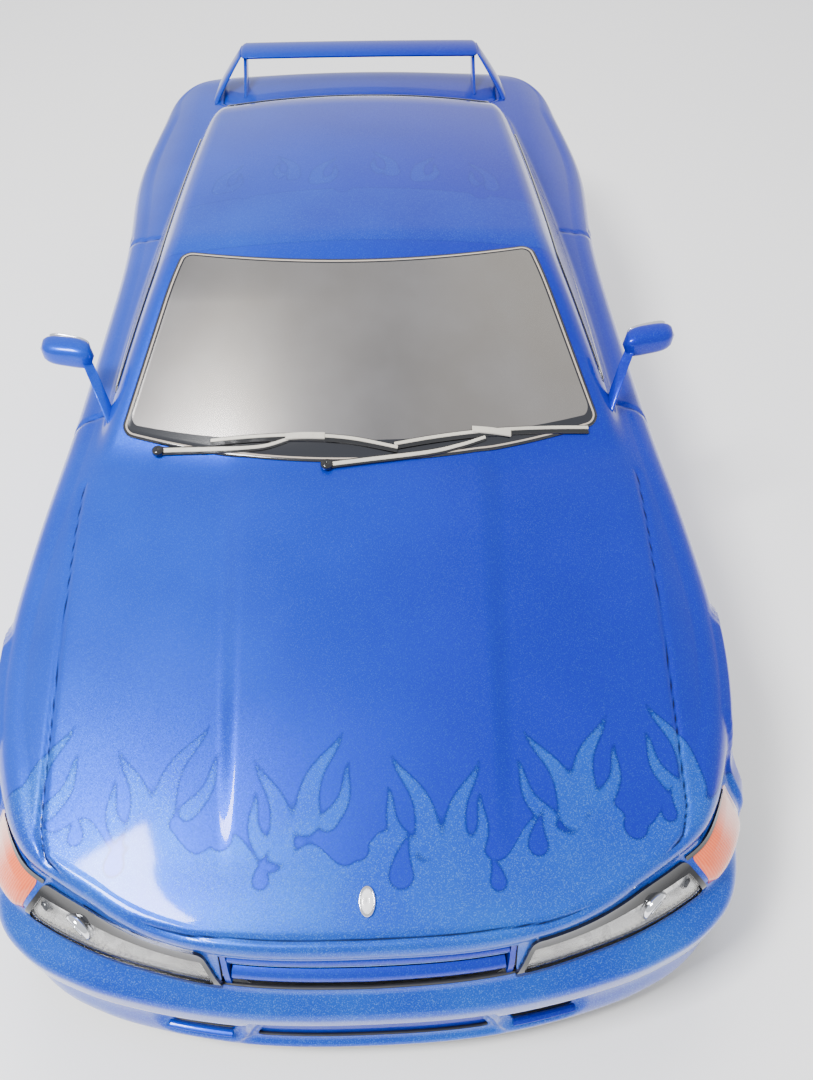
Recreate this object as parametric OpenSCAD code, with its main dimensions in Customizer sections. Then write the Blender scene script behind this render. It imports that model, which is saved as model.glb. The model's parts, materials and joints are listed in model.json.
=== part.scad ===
// 1/10 scale radio-controlled drift car: thermoformed body shell on a two-deck, rear-drive chassis.
// Millimetres. +Z is up and the nose points along -Y.
// The origin is on the ground under the middle of the body.

/* [Body shell] */
// Overall length of the shell
body_l = 440; // [436:1:444]
// Half width of the shell over the doors
door_hw = 95.5; // [94:0.5:97]
// How far each wheel flare stands out from the doors
flare = 6.5; // [5:0.5:7]
// Height of the roof above the ground
roof_z = 125; // [123:0.5:127]
// Thickness of the polycarbonate
shell_t = 1; // [0.8:0.1:1.4]
// Radius of the wheel arches
arch_r = 36.5; // [36:0.5:37]

/* [Running gear] */
// Distance between the axles
wheelbase = 257; // [255:1:258]
// Distance from the centre of the body forward to the front axle
front_axle = 136; // [135:1:137]
// Radius of the tyres
tyre_r = 31; // [30.5:0.25:31.5]
// Width of the tyres
tyre_w = 26; // [24:1:26]
// Half of the front track
track_f = 84; // [83:0.5:84.5]
// Half of the rear track
track_r = 86; // [85:0.5:86.5]
// Length of each knuckle arm, and of the servo horn that matches it
steer_arm = 18; // [17:0.5:18.5]

/* [Suspension] */
// Sideways place of the inner hinge pins
inner_x = 24; // [24:0.25:24.5]
// Sideways place of the outer hinge pins
outer_x = 58; // [57.5:0.25:58.5]
// Height of the lower hinge pins
low_z = 16; // [15.5:0.25:16.5]
// Height of the upper hinge pins
high_z = 46; // [45.5:0.25:46.5]
// Sideways place of the kingpins
king_x = 63; // [62.5:0.25:63.5]

/* [Drive] */
// Teeth on the spur gear
spur_teeth = 78; // [76:1:78]
// Teeth on the motor pinion
pinion_teeth = 26; // [26:1:28]
// Gear module
gear_mod = 0.6; // [0.59:0.01:0.6]

/* [Hidden] */
$fn = 48;

yf = -front_axle;
yr = wheelbase - front_axle;
axle_z = tyre_r;
plate_z = 5;         // underside of the chassis plate
plate_t = 2.5;
floor_z = plate_z + plate_t;
deck_z = 50;         // underside of the upper deck
pin_r = 1.5;
run_gap = 0.05;      // radial clearance of a running fit
paint = [0.05, 0.16, 0.85];
black = [0.07, 0.07, 0.08];
carbon = [0.13, 0.13, 0.14];
alloy = [0.72, 0.73, 0.76];
steel = [0.55, 0.56, 0.58];

// ---------------------------------------------------------------- curves and blends
function smin(a, b, k) = let (h = max(k - abs(a - b), 0) / k) min(a, b) - h * h * k / 4;
function smax(a, b, k) = -smin(-a, -b, k);
function clamp(x, a, b) = min(max(x, a), b);
function ramp(a, b, x) = let (t = clamp((x - a) / (b - a), 0, 1)) t * t * (3 - 2 * t);
function mix(a, b, t) = a + (b - a) * t;
function bell(x) = exp(-x * x);
function seg(p, t, i = 0) = (i >= len(p) - 2 || t < p[i + 1][0]) ? i : seg(p, t, i + 1);
function slope(p, i) = let (a = max(i - 1, 0), b = min(i + 1, len(p) - 1))
  (p[b][1] - p[a][1]) / (p[b][0] - p[a][0]);
// Smooth curve through the points p = [[t, value], ...]
function curve(p, t) = let (
    i = seg(p, t), h = p[i + 1][0] - p[i][0], u = (t - p[i][0]) / h,
    a = slope(p, i) * h, b = slope(p, i + 1) * h)
  p[i][1] * (1 + 2 * u) * (1 - u) * (1 - u) + p[i + 1][1] * u * u * (3 - 2 * u)
  + a * u * (1 - u) * (1 - u) - b * u * u * (1 - u);

// ---------------------------------------------------------------- the shell's surface
half_l = body_l / 2;
// Height of bonnet, cowl and boot along the middle: [y, z]
DECK = [[-220, 54], [-214, 58.5], [-206, 62.5], [-190, 66.5], [-150, 75.5], [-110, 83], [-82, 87.5],
        [-40, 89.5], [40, 91], [110, 93], [160, 94.3], [195, 94.6], [208, 93.6], [216, 90], [220, 86]];
// Outward offset of the side, nose and tail against height: [z, offset]
SIDE = [[8, -1], [16, 1.5], [24, -2.5], [40, -0.5], [58, 0], [80, -1.5]];
NOSE = [[8, 1.6], [12, 2.6], [20, 1], [28, 0.4], [30.5, 2.6], [36, 3], [40, 2.4], [44, 0], [60, 0]];
// How far the bumper's corner, the foot of the lamps and the bonnet's edge stand out or back: [s, offset]
CORNER = [[0, 0], [0.4, 0], [0.6, 1.5], [0.8, 5], [1, 9], [1.2, 11], [1.4, 9], [1.7, 3], [2, 0]];
LAMP_FOOT = [[0, -2], [0.4, -2.5], [0.6, -2], [0.8, 0.5], [1, 4], [1.2, 8], [1.4, 8], [1.7, 3], [2, 0]];
SET_BACK = [[0, 5.5], [0.8, 5.5], [1, 3.5], [1.2, 0], [1.4, -1], [1.7, 0], [2, 0]];
TAIL = [[12, 0], [18, 1.5], [36, 2], [50, 1.6], [56, 0], [80, -0.5], [96, -1]];
nose_y = -110;       // where the nose starts to round off
tail_y = 150;
nose_b = half_l - 3 + nose_y;
tail_b = half_l - 2 - tail_y;
nose_n = 3;          // superellipse powers of the nose and the tail in plan
tail_n = 4.5;

function half_w(y) = door_hw + flare * bell((y + front_axle - 6) / 48) + flare * bell((y - yr) / 48);
function bow_front(x) = 17 * pow(x / 78, 2);
function bow_rear(x) = 12 * pow(x / 70, 2);
function belt_x(y) = 81.5 - 0.0003 * pow(y + 20, 2);
function crease_x(y) = mix(38.5, 33.5, clamp((-85 - y) / 107, 0, 1));
function crease_w(y) = mix(9, 4, clamp((-85 - y) / 107, 0, 1));
function bulge(x, y) = let (c = crease_x(y), w = crease_w(y))
  1.6 * (1 - ramp(c - w / 2, c + w / 2, x)) * ramp(-196, -150, y) * (1 - ramp(-70, -30, y));
function bonnet(x, y) = curve(DECK, clamp(y, -219.9, 219.9)) - 3.5 * pow(x / 82, 2)
  - 0.015 * pow(max(x - 78, 0), 2) + bulge(x, y);
function roof(x, y) = roof_z - 0.0006 * pow(y - 38, 2) - 3.4 * pow(x / 60, 2);
function screen(x, y) = 88 + (y + 82 - bow_front(x)) * 0.545;
function rear_screen(x, y) = 94.6 + (163 - bow_rear(x) - y) * 0.52;
function cabin_side(x, y) = 88.5 + (belt_x(y) - x) * 1.75;
function cabin(x, y) =
  smin(smin(smin(roof(x, y), screen(x, y), 7), rear_screen(x, y), 6), cabin_side(x, y), 8);
// Height of the top surface at any place in plan, x not negative
function top(x, y) = smax(bonnet(x, y), cabin(x, y), 2.5);

// Plan outline of the shell. s runs 0 to 1 over the nose, to 2 round its corner, to 3 along the side,
// to 4 round the rear corner and to 5 at the middle of the tail.
function squash(p, q, n) = max(p, q) / pow(pow(p, n) + pow(q, n), 1 / n);
function outline(s) =
  s <= 2 ? let (p = min(s, 1), q = min(2 - s, 1), k = squash(p, q, nose_n), y = nose_y - nose_b * q * k)
    [half_w(y) * p * k, y]
  : s <= 3 ? let (y = mix(nose_y, tail_y, s - 2)) [half_w(y), y]
  : let (p = min(5 - s, 1), q = min(s - 3, 1), k = squash(p, q, tail_n), y = tail_y + tail_b * q * k)
    [half_w(y) * p * k, y];
function spine_y(s) = s <= 2 ? mix(-205.5, nose_y, s / 2) : s <= 3 ? mix(nose_y, tail_y, s - 2)
  : mix(tail_y, 210, (s - 3) / 2);
function out_dir(s) = let (
    a = outline(max(s - 0.01, 0)), b = outline(min(s + 0.01, 5)), d = b - a, v = [d[1], -d[0]])
  (s == 0 ? [0, -1] : s == 5 ? [0, 1] : v / norm(v));
function nose_part(y) = 1 - ramp(-190, -166, y);
function tail_part(y) = ramp(168, 196, y);
function fillet(y) = mix(9, 4, max(nose_part(y), tail_part(y)));
function skirt_off(y, z) = let (a = nose_part(y), b = tail_part(y))
  curve(NOSE, clamp(z, 8, 60)) * a + curve(TAIL, clamp(z, 12, 96)) * b
  + curve(SIDE, clamp(z, 8, 80)) * (1 - a - b);
function low_edge(y) = 10 - nose_part(y) + 4 * tail_part(y);
function set_back(s) = curve(SET_BACK, min(s, 2));
function inset(s) = let (o = outline(s)) o - out_dir(s) * (fillet(o[1]) + set_back(s));
function shoulder_z(s) = let (i = inset(s), o = outline(s)) top(i[0], i[1]) - fillet(o[1]);
// A point of the skirt at outline place s and height z, pushed out by e
function skirt_pt(s, z, e = 0) = let (
    o = outline(s), d = out_dir(s),
    zs = shoulder_z(s), up = ramp(38, 45, z), rim = ramp(zs - 12, zs, z), f = min(s, 2),
    front = curve(CORNER, f) * (1 - up) + curve(LAMP_FOOT, f) * up * (1 - rim) - curve(SET_BACK, f) * rim,
    off = skirt_off(o[1], z) - skirt_off(o[1], zs) * rim + front + e)
  [s == 0 || s == 5 ? 0 : o[0] + d[0] * off, o[1] + d[1] * off, z];
function fillet_pt(s, a) = let (
    o = outline(s), r = fillet(o[1]), p = inset(s) + out_dir(s) * r * cos(a))
  [s == 0 || s == 5 ? 0 : p[0], p[1], shoulder_z(s) + r * sin(a)];
function top_pt(s, f) = let (i = inset(s), x = i[0] * f, y = mix(spine_y(s), i[1], f)) [x, y, top(x, y)];

S_ROWS = concat([for (i = [0:6]) i / 6], [for (i = [1:5]) 1 + i / 5], [for (i = [1:19]) 2 + i / 19],
                [for (i = [1:6]) 3 + i / 6], [for (i = [1:6]) 4 + i / 6]);
Z_ROWS = [16, 28, 30.5, 38, 45];
ARC = [0, 30, 60];
TOP = [1, 0.93, 0.865, 0.82, 0.75, 0.68, 0.61, 0.42, 0.2, 0];
function shell_row(s) = concat(
  [skirt_pt(s, low_edge(outline(s)[1]))],
  [for (z = Z_ROWS) skirt_pt(s, z)],
  [skirt_pt(s, mix(45, shoulder_z(s), 0.45))],
  [for (a = ARC) fillet_pt(s, a)], [for (f = TOP) top_pt(s, f)]);
function unit(v) = v / max(norm(v), 0.000001);
// The grid moved inwards along its normals by t, kept on x = 0 where it lies there
function inward(g, t) = [for (i = [0:len(g) - 1]) [for (j = [0:len(g[0]) - 1]) let (
    a = g[max(i - 1, 0)][j], b = g[min(i + 1, len(g) - 1)][j],
    c = g[i][max(j - 1, 0)], d = g[i][min(j + 1, len(g[0]) - 1)],
    n = unit(cross(b - a, d - c)), p = g[i][j] - n * t)
  [abs(g[i][j][0]) < 0.001 ? 0 : p[0], p[1], p[2]]]];
function flat(l) = [for (a = l) for (b = a) b];
// Closed solid between two grids of points, outer and inner
module skin(a, b) {
  m = len(a);
  n = len(a[0]);
  k = m * n;
  quads = concat(
    flat([for (i = [0:m - 2]) [for (j = [0:n - 2]) [i * n + j, i * n + j + 1, (i + 1) * n + j + 1, (i + 1) * n + j]]]),
    flat([for (i = [0:m - 2]) [for (j = [0:n - 2])
      [k + i * n + j, k + (i + 1) * n + j, k + (i + 1) * n + j + 1, k + i * n + j + 1]]]),
    [for (i = [0:m - 2]) [i * n, (i + 1) * n, k + (i + 1) * n, k + i * n]],
    [for (i = [0:m - 2]) [i * n + n - 1, k + i * n + n - 1, k + (i + 1) * n + n - 1, (i + 1) * n + n - 1]],
    [for (j = [0:n - 2]) [j, k + j, k + j + 1, j + 1]],
    [for (j = [0:n - 2]) [(m - 1) * n + j, (m - 1) * n + j + 1, k + (m - 1) * n + j + 1, k + (m - 1) * n + j]]);
  tris = flat([for (q = quads) [[q[0], q[1], q[2]], [q[0], q[2], q[3]]]]);
  polyhedron(points = concat(flat(a), flat(b)), faces = tris, convexity = 10);
}
module both() { children(); mirror([1, 0, 0]) children(); }

// ---------------------------------------------------------------- openings in the nose
// Headlamp band: place s, lower and upper height
function lamp_low(s) = 45.2;
function lamp_high(s) = 56.4 + 0.6 * s;
function lamp_taper(s) = ramp(0.36, 0.46, s);
// Solid that fills the headlamp's band, from e0 to e1 outward of the skirt, grown by g
function lamp_z(s, f, g) = mix(lamp_low(s) - g, mix(48, lamp_high(s), lamp_taper(s)) + g, f);
module lamp_band(s_list, e0, e1, g = 0) {
  skin([for (s = s_list) [for (f = [0, 0.5, 1]) skirt_pt(s, lamp_z(s, f, g), e1)]],
       [for (s = s_list) [for (f = [0, 0.5, 1]) skirt_pt(s, lamp_z(s, f, g), e0)]]);
}
module lamp_cut() lamp_band(concat([0.38, 0.43], [for (i = [1:8]) 0.4 + i * 0.0875]), -3, 3, 0.3);
module grille_cut() translate([0, -half_l, 51]) cube([70, 30, 11.4], center = true);
module intake_cut() {
  translate([0, -half_l, 19]) cube([62, 24, 9], center = true);
  both() translate([44, -half_l + 2, 20]) cube([17, 24, 7], center = true);
}

module body_shell() {
  g = [for (s = S_ROWS) shell_row(s)];
  color(paint) resize([0, body_l, 0]) difference() {
    both() skin(g, inward(g, shell_t));
    for (y = [yf - 1, yr]) translate([0, y, axle_z - 2]) rotate([0, 90, 0])
      cylinder(r = arch_r, h = 260, center = true, $fn = 44);
    both() lamp_cut();
    grille_cut();
    intake_cut();
  }
}

// A film of thickness t on the top surface, from a grid of plan points, held e above it
module film(plan, e, t) {
  skin([for (r = plan) [for (p = r) [p[0], p[1], top(abs(p[0]), p[1]) + e + t]]],
       [for (r = plan) [for (p = r) [p[0], p[1], top(abs(p[0]), p[1]) + e]]]);
}
FILM_E = 0.95;
FILM_T = 0.4;
// Plan points of the glass, across by u and up by v
function windscreen_pt(u, v) = let (x = -u * mix(75, 56.5, v)) [x, mix(-79.5, -19, v) + bow_front(x)];
function rear_window_pt(u, v) = let (x = -u * mix(54, 64, v)) [x, mix(117, 156, v) - bow_rear(x)];
function side_window_pt(u, v) = let (y = mix(-50 + 44 * v, 112 - 22 * v, u))
  [mix(belt_x(y) - 2.2, belt_x(y) - 14.4, v), y];
module windows() color([0.45, 0.45, 0.46]) {
  film([for (v = [0:0.125:1]) [for (u = [-1:0.125:1]) windscreen_pt(u, v)]], FILM_E, FILM_T);
  film([for (v = [0:0.2:1]) [for (u = [-1:0.125:1]) rear_window_pt(u, v)]], FILM_E, FILM_T);
  for (k = [0, 1]) mirror([k, 0, 0])
    film([for (u = [0:0.1:1]) [for (v = [0:0.25:1]) side_window_pt(u, v)]], FILM_E, FILM_T);
}

module lamps() {
  color([0.8, 0.82, 0.85]) both() lamp_band([for (i = [0:8]) 0.405 + i * 0.0855], -5, 0.2, 0);
  color([0.9, 0.35, 0.12]) both() skin(
    [for (s = [1.12:0.06:1.36]) [for (f = [0, 0.5, 1]) skirt_pt(s, mix(lamp_low(s), lamp_high(s), f), 1.9)]],
    [for (s = [1.12:0.06:1.36]) [for (f = [0, 0.5, 1]) skirt_pt(s, mix(lamp_low(s), lamp_high(s), f), 1.1)]]);
  color([0.75, 0.05, 0.06]) both() skin(
    [for (s = [for (i = [1:4]) 4 + i / 6]) [for (f = [0, 0.5, 1]) skirt_pt(s, mix(66, 80, f), 1.6)]],
    [for (s = [for (i = [1:4]) 4 + i / 6]) [for (f = [0, 0.5, 1]) skirt_pt(s, mix(66, 80, f), 0.8)]]);
}

module grille_and_badge() {
  color(paint) translate([0, -half_l + 8.6, 48.7]) cube([68, 2, 3.4], center = true);
  color(paint) translate([0, -half_l + 9.6, 54.1]) cube([68, 2, 3.4], center = true);
  color(black) translate([0, -half_l + 12.6, 51]) cube([68, 1, 10.6], center = true);
  color(paint) both() translate([33.2, -half_l + 10.6, 51]) cube([1.6, 3, 10.6], center = true);
  color(alloy) translate([0, -201, top(0, -201) + 0.8]) rotate([15, 0, 0])
    cylinder(r = 2.6, h = 1, center = true);
}

module door_mirrors() color(paint) both() translate([0, -40, 97]) {
  hull() {
    translate([88, 2, 3]) sphere(r = 4, $fn = 20);
    translate([99, 5, 5]) sphere(r = 4, $fn = 20);
    translate([89, -3, 4.5]) sphere(r = 3, $fn = 20);
    translate([99, 0.5, 6.5]) sphere(r = 2.4, $fn = 20);
  }
  hull() {
    translate([87, 0, 1.6]) sphere(r = 2.4, $fn = 16);
    translate([81.6, -10, -6.2]) sphere(r = 1.6, $fn = 16);
    translate([81.6, -17, -6.8]) sphere(r = 1.2, $fn = 16);
  }
}

wing_y = 206;
wing_z = 104.5;
// A leg of the wing, raked back from its foot on the boot to the blade
module wing_leg(x0, x1, w) hull() {
  translate([x0, 187, top(x0, 187) + 0.9]) cube([w, 16, 1.2], center = true);
  translate([x1, wing_y - 1, wing_z - 0.4]) cube([w, 11, 1], center = true);
}
module rear_wing() color(paint) {
  translate([0, wing_y, wing_z]) rotate([90, 0, 90]) linear_extrude(118, center = true)
    polygon([[-8, 0.6], [-5, 1.9], [0, 2.6], [5, 2.6], [9, 1.8], [9, 1], [4, -0.2], [-4, -1], [-7, -0.6]]);
  both() wing_leg(56.5, 57, 2);
  both() hull() {
    translate([58.5, wing_y + 0.5, wing_z + 0.9]) cube([1, 17, 3], center = true);
    translate([70.5, 185, top(70.5, 185) + 1]) cube([2.4, 20, 1], center = true);
  }
}

// Magnet seats: [x, y, height where the two magnets meet]
SEATS = [[18, yf - 21.5, 69], [22, yr + 21.5, 87]];
module shell_magnets() for (s = SEATS) both() {
  color(steel) translate([s[0], s[1], s[2] + 0.05]) cylinder(r = 5, h = 1.95);
  color(black) translate([s[0], s[1], s[2] + 2])
    cylinder(r1 = 4, r2 = 1.2, h = top(s[0], s[1]) - shell_t - s[2] - 3);
}

// ---------------------------------------------------------------- chassis
module plate_outline() polygon([
  [-27, -176], [27, -176], [27, -112], [52, -96], [52, 56], [42, 66], [42, 92], [27, 104], [27, 150],
  [-27, 150], [-27, 104], [-42, 92], [-42, 66], [-52, 56], [-52, -96], [-27, -112]]);
module chassis_plate() color(carbon) translate([0, 0, plate_z]) linear_extrude(plate_t) difference() {
  plate_outline();
  for (y = [-160, -166]) for (x = [-16, 16]) translate([x, y]) circle(r = 1.6);
  for (x = [-36, 36]) translate([x, 64]) circle(r = 4);
  translate([14.5, yr]) square([8, 30], center = true);
}
module upper_deck() color(carbon) {
  translate([0, 0, deck_z]) linear_extrude(2) difference() {
    polygon([[-27, yf - 20], [27, yf - 20], [27, yf + 12], [22, -112], [22, -94], [13, -86], [13, 40], [22, 52], [22, 68],
             [-22, 68], [-22, 52], [-13, 40], [-13, -86], [-22, -94], [-22, -112], [-27, yf + 12]]);
    for (y = [-80, -50, -20, 10]) translate([0, y]) circle(r = 6);
    translate([0, yf]) circle(r = 7);
  }
}

module hinge_ears(z0, z1, zp) {
  difference() {
    translate([12, -12.5, z0]) cube([15.5, 25, z1 - z0]);
    translate([19.5, -8.8, z0 - 1]) cube([10, 17.6, z1 - z0 + 2]);
    translate([inner_x, 0, zp]) rotate([90, 0, 0]) cylinder(r = pin_r, h = 40, center = true);
  }
}
module bulkheads() color(black) {
  translate([0, yf, 0]) {
    both() hinge_ears(floor_z, 22, low_z);
    translate([-27.5, -20, floor_z]) cube([55, 7.5, 22 - floor_z]);
    both() translate([12, -20, 22]) cube([7, 7, 20.5]);
    both() hinge_ears(42.5, deck_z, high_z);
    translate([-27.5, -20, 42.5]) cube([55, 7.5, deck_z - 42.5]);
  }
  translate([0, yr, 0]) both() difference() {
    union() {
      translate([17, -12.5, floor_z]) cube([10.5, 25, deck_z - floor_z]);
      translate([0, 13.5, floor_z]) cube([27.5, 6.5, deck_z - floor_z]);
      translate([17, 12, floor_z]) cube([10.5, 2, deck_z - floor_z]);
    }
    for (z = [low_z, high_z]) {
      translate([19.5, -8.8, z - 5]) cube([10, 17.6, 10]);
      translate([inner_x, -3, z]) rotate([90, 0, 0]) cylinder(r = pin_r, h = 30, center = true);
    }
    translate([22, 0, axle_z]) rotate([0, 90, 0]) cylinder(r = 8, h = 20, center = true);
    translate([11.2, 13, floor_z - 1]) cube([5.7, 8, 44]);
  }
}

module tower(top_z) linear_extrude(3) difference() {
  polygon([[-20, 22], [20, 22], [28, 42], [40, 60], [40, 70], [29, 70], [25, top_z], [-25, top_z],
           [-29, 70], [-40, 70], [-40, 60], [-28, 42]]);
  translate([0, 44]) circle(r = 8);
  for (x = [-34, 34]) translate([x, 66]) circle(r = pin_r);
}
module shock_towers() color(carbon) {
  translate([0, yf - 20, 0]) rotate([90, 0, 0]) tower(62);
  difference() {
    translate([0, yr + 23, 0]) rotate([90, 0, 0]) tower(64);
    translate([11.2, yr + 19, 21]) cube([5.6, 5, 26]);
  }
}

mot_a = 10;          // how far the motor sits round the spool, above the horizontal
gear_c = gear_mod * (spur_teeth + pinion_teeth) / 2;
mot_y = yr - gear_c * cos(mot_a);
mot_z = axle_z + gear_c * sin(mot_a);
module motor() {
  color(steel) translate([-44, mot_y, mot_z]) rotate([0, 90, 0]) difference() {
    union() {
      cylinder(r = 17.8, h = 50);
      translate([0, 0, -2]) cylinder(r = 13, h = 2);
    }
    translate([0, 0, -3]) cylinder(r = 3.2, h = 60);
    for (a = [45:90:315]) rotate(a) translate([12, 0, 8]) cylinder(r = 2, h = 50);
  }
  color(alloy) translate([6.2, mot_y, 0]) difference() {
    translate([0, -19, floor_z]) cube([3, 38, 52]);
    translate([-1, 0, mot_z]) rotate([0, 90, 0]) cylinder(r = 3.2, h = 5);
  }
}

module battery() color([0.1, 0.1, 0.12]) translate([3, -92, floor_z]) difference() {
  cube([46, 138, 25]);
  for (x = [16, 30]) translate([x, -1, 17]) rotate([-90, 0, 0]) cylinder(r = 2.05, h = 12);
}
module speed_controller() {
  color(black) translate([-46, -4, floor_z]) cube([34, 38, 15]);
  color([0.2, 0.2, 0.22]) translate([-44, 0, floor_z + 15]) difference() {
    cube([30, 30, 8]);
    translate([15, 15, -1]) cylinder(r = 13, h = 10);
  }
  color(black) translate([-29, 15, floor_z + 15]) cylinder(r = 5, h = 7);
}
module receiver() color([0.12, 0.12, 0.14]) {
  translate([-40, -62, floor_z]) cube([24, 36, 12]);
  translate([-38, -84, floor_z]) cube([20, 18, 9]);
}
module steering_servo() {
  color(black) translate([-10, yf - 10, floor_z]) cube([20, 40, 24]);
  color(alloy) translate([0, yf, floor_z + 24]) cylinder(r = 3, h = 4.6);
}
module front_bumper() {
  color(black) translate([0, 0, plate_z + plate_t]) linear_extrude(24)
    polygon([[-46, -190], [-36, -202], [-18, -207], [18, -207], [36, -202], [46, -190], [46, -180], [-46, -180]]);
  color(carbon) translate([-24, -180, plate_z + plate_t]) cube([48, 22, 3]);
}
module body_posts() for (i = [0, 1]) let (s = SEATS[i], z0 = i == 0 ? 62 : 64) both() {
  color(black) translate([s[0], s[1], z0]) cylinder(r = 3, h = s[2] - 2 - z0);
  color(steel) translate([s[0], s[1], s[2] - 2]) cylinder(r = 5, h = 2);
}

// ---------------------------------------------------------------- fasteners, wires and springs
module pins_and_screws() color(steel) {
  both() for (z = [low_z, high_z]) {
    translate([inner_x, yf + 0.3, z]) rotate([90, 0, 0]) cylinder(r = pin_r, h = 25.4, center = true);
    translate([inner_x, yr - 1.2, z]) rotate([90, 0, 0]) cylinder(r = pin_r, h = 23.6, center = true);
  }
  both() translate([34, yf - 23.8, 66]) rotate([-90, 0, 0]) cylinder(r = pin_r, h = 15);
  both() translate([34, yr + 23.8, 66]) rotate([90, 0, 0]) cylinder(r = pin_r, h = 15);
  for (y = [-106, 60]) both() translate([17, y, floor_z]) cylinder(r = 3, h = deck_z - floor_z);
  for (y = [-106, 60]) both() translate([17, y, deck_z + 2]) cylinder(r = 2.7, h = 1.5);
  both() translate([22, yf - 16.5, deck_z + 2]) cylinder(r = 2.7, h = 1.5);
}

// Round wire along a list of points, with n sides
function tangent(p, i) = unit(p[min(i + 1, len(p) - 1)] - p[max(i - 1, 0)]);
function side_of(t) = unit(cross(t, abs(t[2]) > 0.9 ? [1, 0, 0] : [0, 0, 1]));
module wire(p, r, n = 8) {
  m = len(p);
  rings = flat([for (i = [0:m - 1]) let (t = tangent(p, i), a = side_of(t), b = cross(t, a))
    [for (k = [0:n - 1]) p[i] + r * (cos(360 * k / n) * a + sin(360 * k / n) * b)]]);
  walls = flat([for (i = [0:m - 2]) flat([for (k = [0:n - 1]) let (l = (k + 1) % n)
    [[i * n + k, i * n + l, (i + 1) * n + l], [i * n + k, (i + 1) * n + l, (i + 1) * n + k]]])]);
  caps = concat([for (k = [1:n - 2]) [0, k + 1, k]],
                [for (k = [1:n - 2]) [(m - 1) * n, (m - 1) * n + k, (m - 1) * n + k + 1]]);
  polyhedron(points = rings, faces = [for (f = concat(walls, caps)) [f[2], f[1], f[0]]]);
}
// A smooth run of 4 m + 1 points through hand-placed points
function along(p, m = 4) = [for (k = [0:m * (len(p) - 1)]) let (t = k / m)
  [for (c = [0:2]) curve([for (i = [0:len(p) - 1]) [i, p[i][c]]], t)]];
MOTOR_RUN = [[0, 34.3, 18], [0, 42, 18], [-3, 52, 22], [-4, 62, 31], [-2, 71.6, 36.4]];
LEAD_RUN = [[-24, -5.4, 13], [-14, -12, 12], [-7, -26, 12], [-6.5, -60, 12], [-6.5, -86, 15], [2, -98, 22]];
SERVO_RUN = [[-28, -84.3, 12], [-26, -91, 10], [-10, -96, 10], [-5, -105.7, 12]];
module wiring() {
  for (i = [0:2]) color([[0.1, 0.2, 0.9], [0.95, 0.75, 0.1], [0.9, 0.4, 0.05]][i])
    wire(along([for (q = MOTOR_RUN) [-38 + 8 * i + q[0], q[1], q[2]]]), 1.3);
  for (i = [0, 1]) color([[0.8, 0.05, 0.05], black][i]) {
    wire(along(concat([for (q = LEAD_RUN) [q[0] + 3.6 * i, q[1] - 0.4 * i, q[2] + 3.5 * i]],
                      [[19 + 14 * i, -98.2 - 0.6 * i, 24.5 + 3 * i]])), 1.4);
  }
  color([0.85, 0.7, 0.3]) for (x = [19, 33]) translate([x, -96, 24.5]) rotate([-90, 0, 0])
    cylinder(r = 2, h = 14);
  color(black) wire(along(SERVO_RUN), 0.9);
}

module helix(r, w, z0, z1, turns, n = 14) {
  wire([for (k = [0:turns * n]) let (a = 360 * k / n, f = k / (turns * n))
    [r * cos(a), r * sin(a), mix(z0, z1, f)]], w, 6);
}

// ---------------------------------------------------------------- dampers
// A damper leans from its top stud to its stud on the lower arm. Along it, t is measured from the top.
damp_top = [34, 66];
damp_low = [50, 20];
damp_y = 13;
damp_l = norm(damp_top - damp_low);
damp_tilt = atan2(damp_low[0] - damp_top[0], damp_top[1] - damp_low[1]);
// Puts a damper, drawn from the origin down -Z, in place. k is -1 at the front and 1 at the rear.
module damper_place(y, k) translate([damp_top[0], y + k * damp_y, damp_top[1]]) rotate([0, -damp_tilt, 0]) children();
module eye(bore) rotate([90, 0, 0]) difference() {
  cylinder(r = 3.6, h = 5, center = true);
  cylinder(r = bore, h = 7, center = true);
}
module damper_body() color(alloy) {
  difference() {
    union() {
      eye(pin_r + run_gap);
      translate([0, 0, -8]) cylinder(r = 5.4, h = 5);
      translate([0, 0, -28]) cylinder(r = 5, h = 22);
      translate([0, 0, -12]) cylinder(r = 6.8, h = 2);
    }
    rotate([90, 0, 0]) cylinder(r = pin_r + run_gap, h = 14, center = true);
    translate([0, 0, -26.5]) cylinder(r = 3.8, h = 17.5);
    translate([0, 0, -29]) cylinder(r = 1.4, h = 6);
  }
}
module damper_shaft() color(steel) difference() {
  union() {
    translate([0, 0, -damp_l]) eye(pin_r + 0.4);
    translate([0, 0, -damp_l + 3]) cylinder(r = 1.3, h = damp_l - 3 - 17);
    translate([0, 0, -damp_l + 2.5]) cylinder(r = 2.6, h = 7);
    translate([0, 0, -38.5]) cylinder(r = 6.8, h = 1.5);
    translate([0, 0, -20]) cylinder(r = 3.7, h = 2.5);
  }
  translate([0, 0, -damp_l]) rotate([90, 0, 0]) cylinder(r = pin_r + 0.4, h = 14, center = true);
}
module coil_springs() color([0.85, 0.1, 0.1]) both() {
  damper_place(yf, -1) helix(6.1, 0.6, -12.65, -36.35, 6);
  damper_place(yr, 1) helix(6.1, 0.6, -12.65, -36.35, 6);
}

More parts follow.
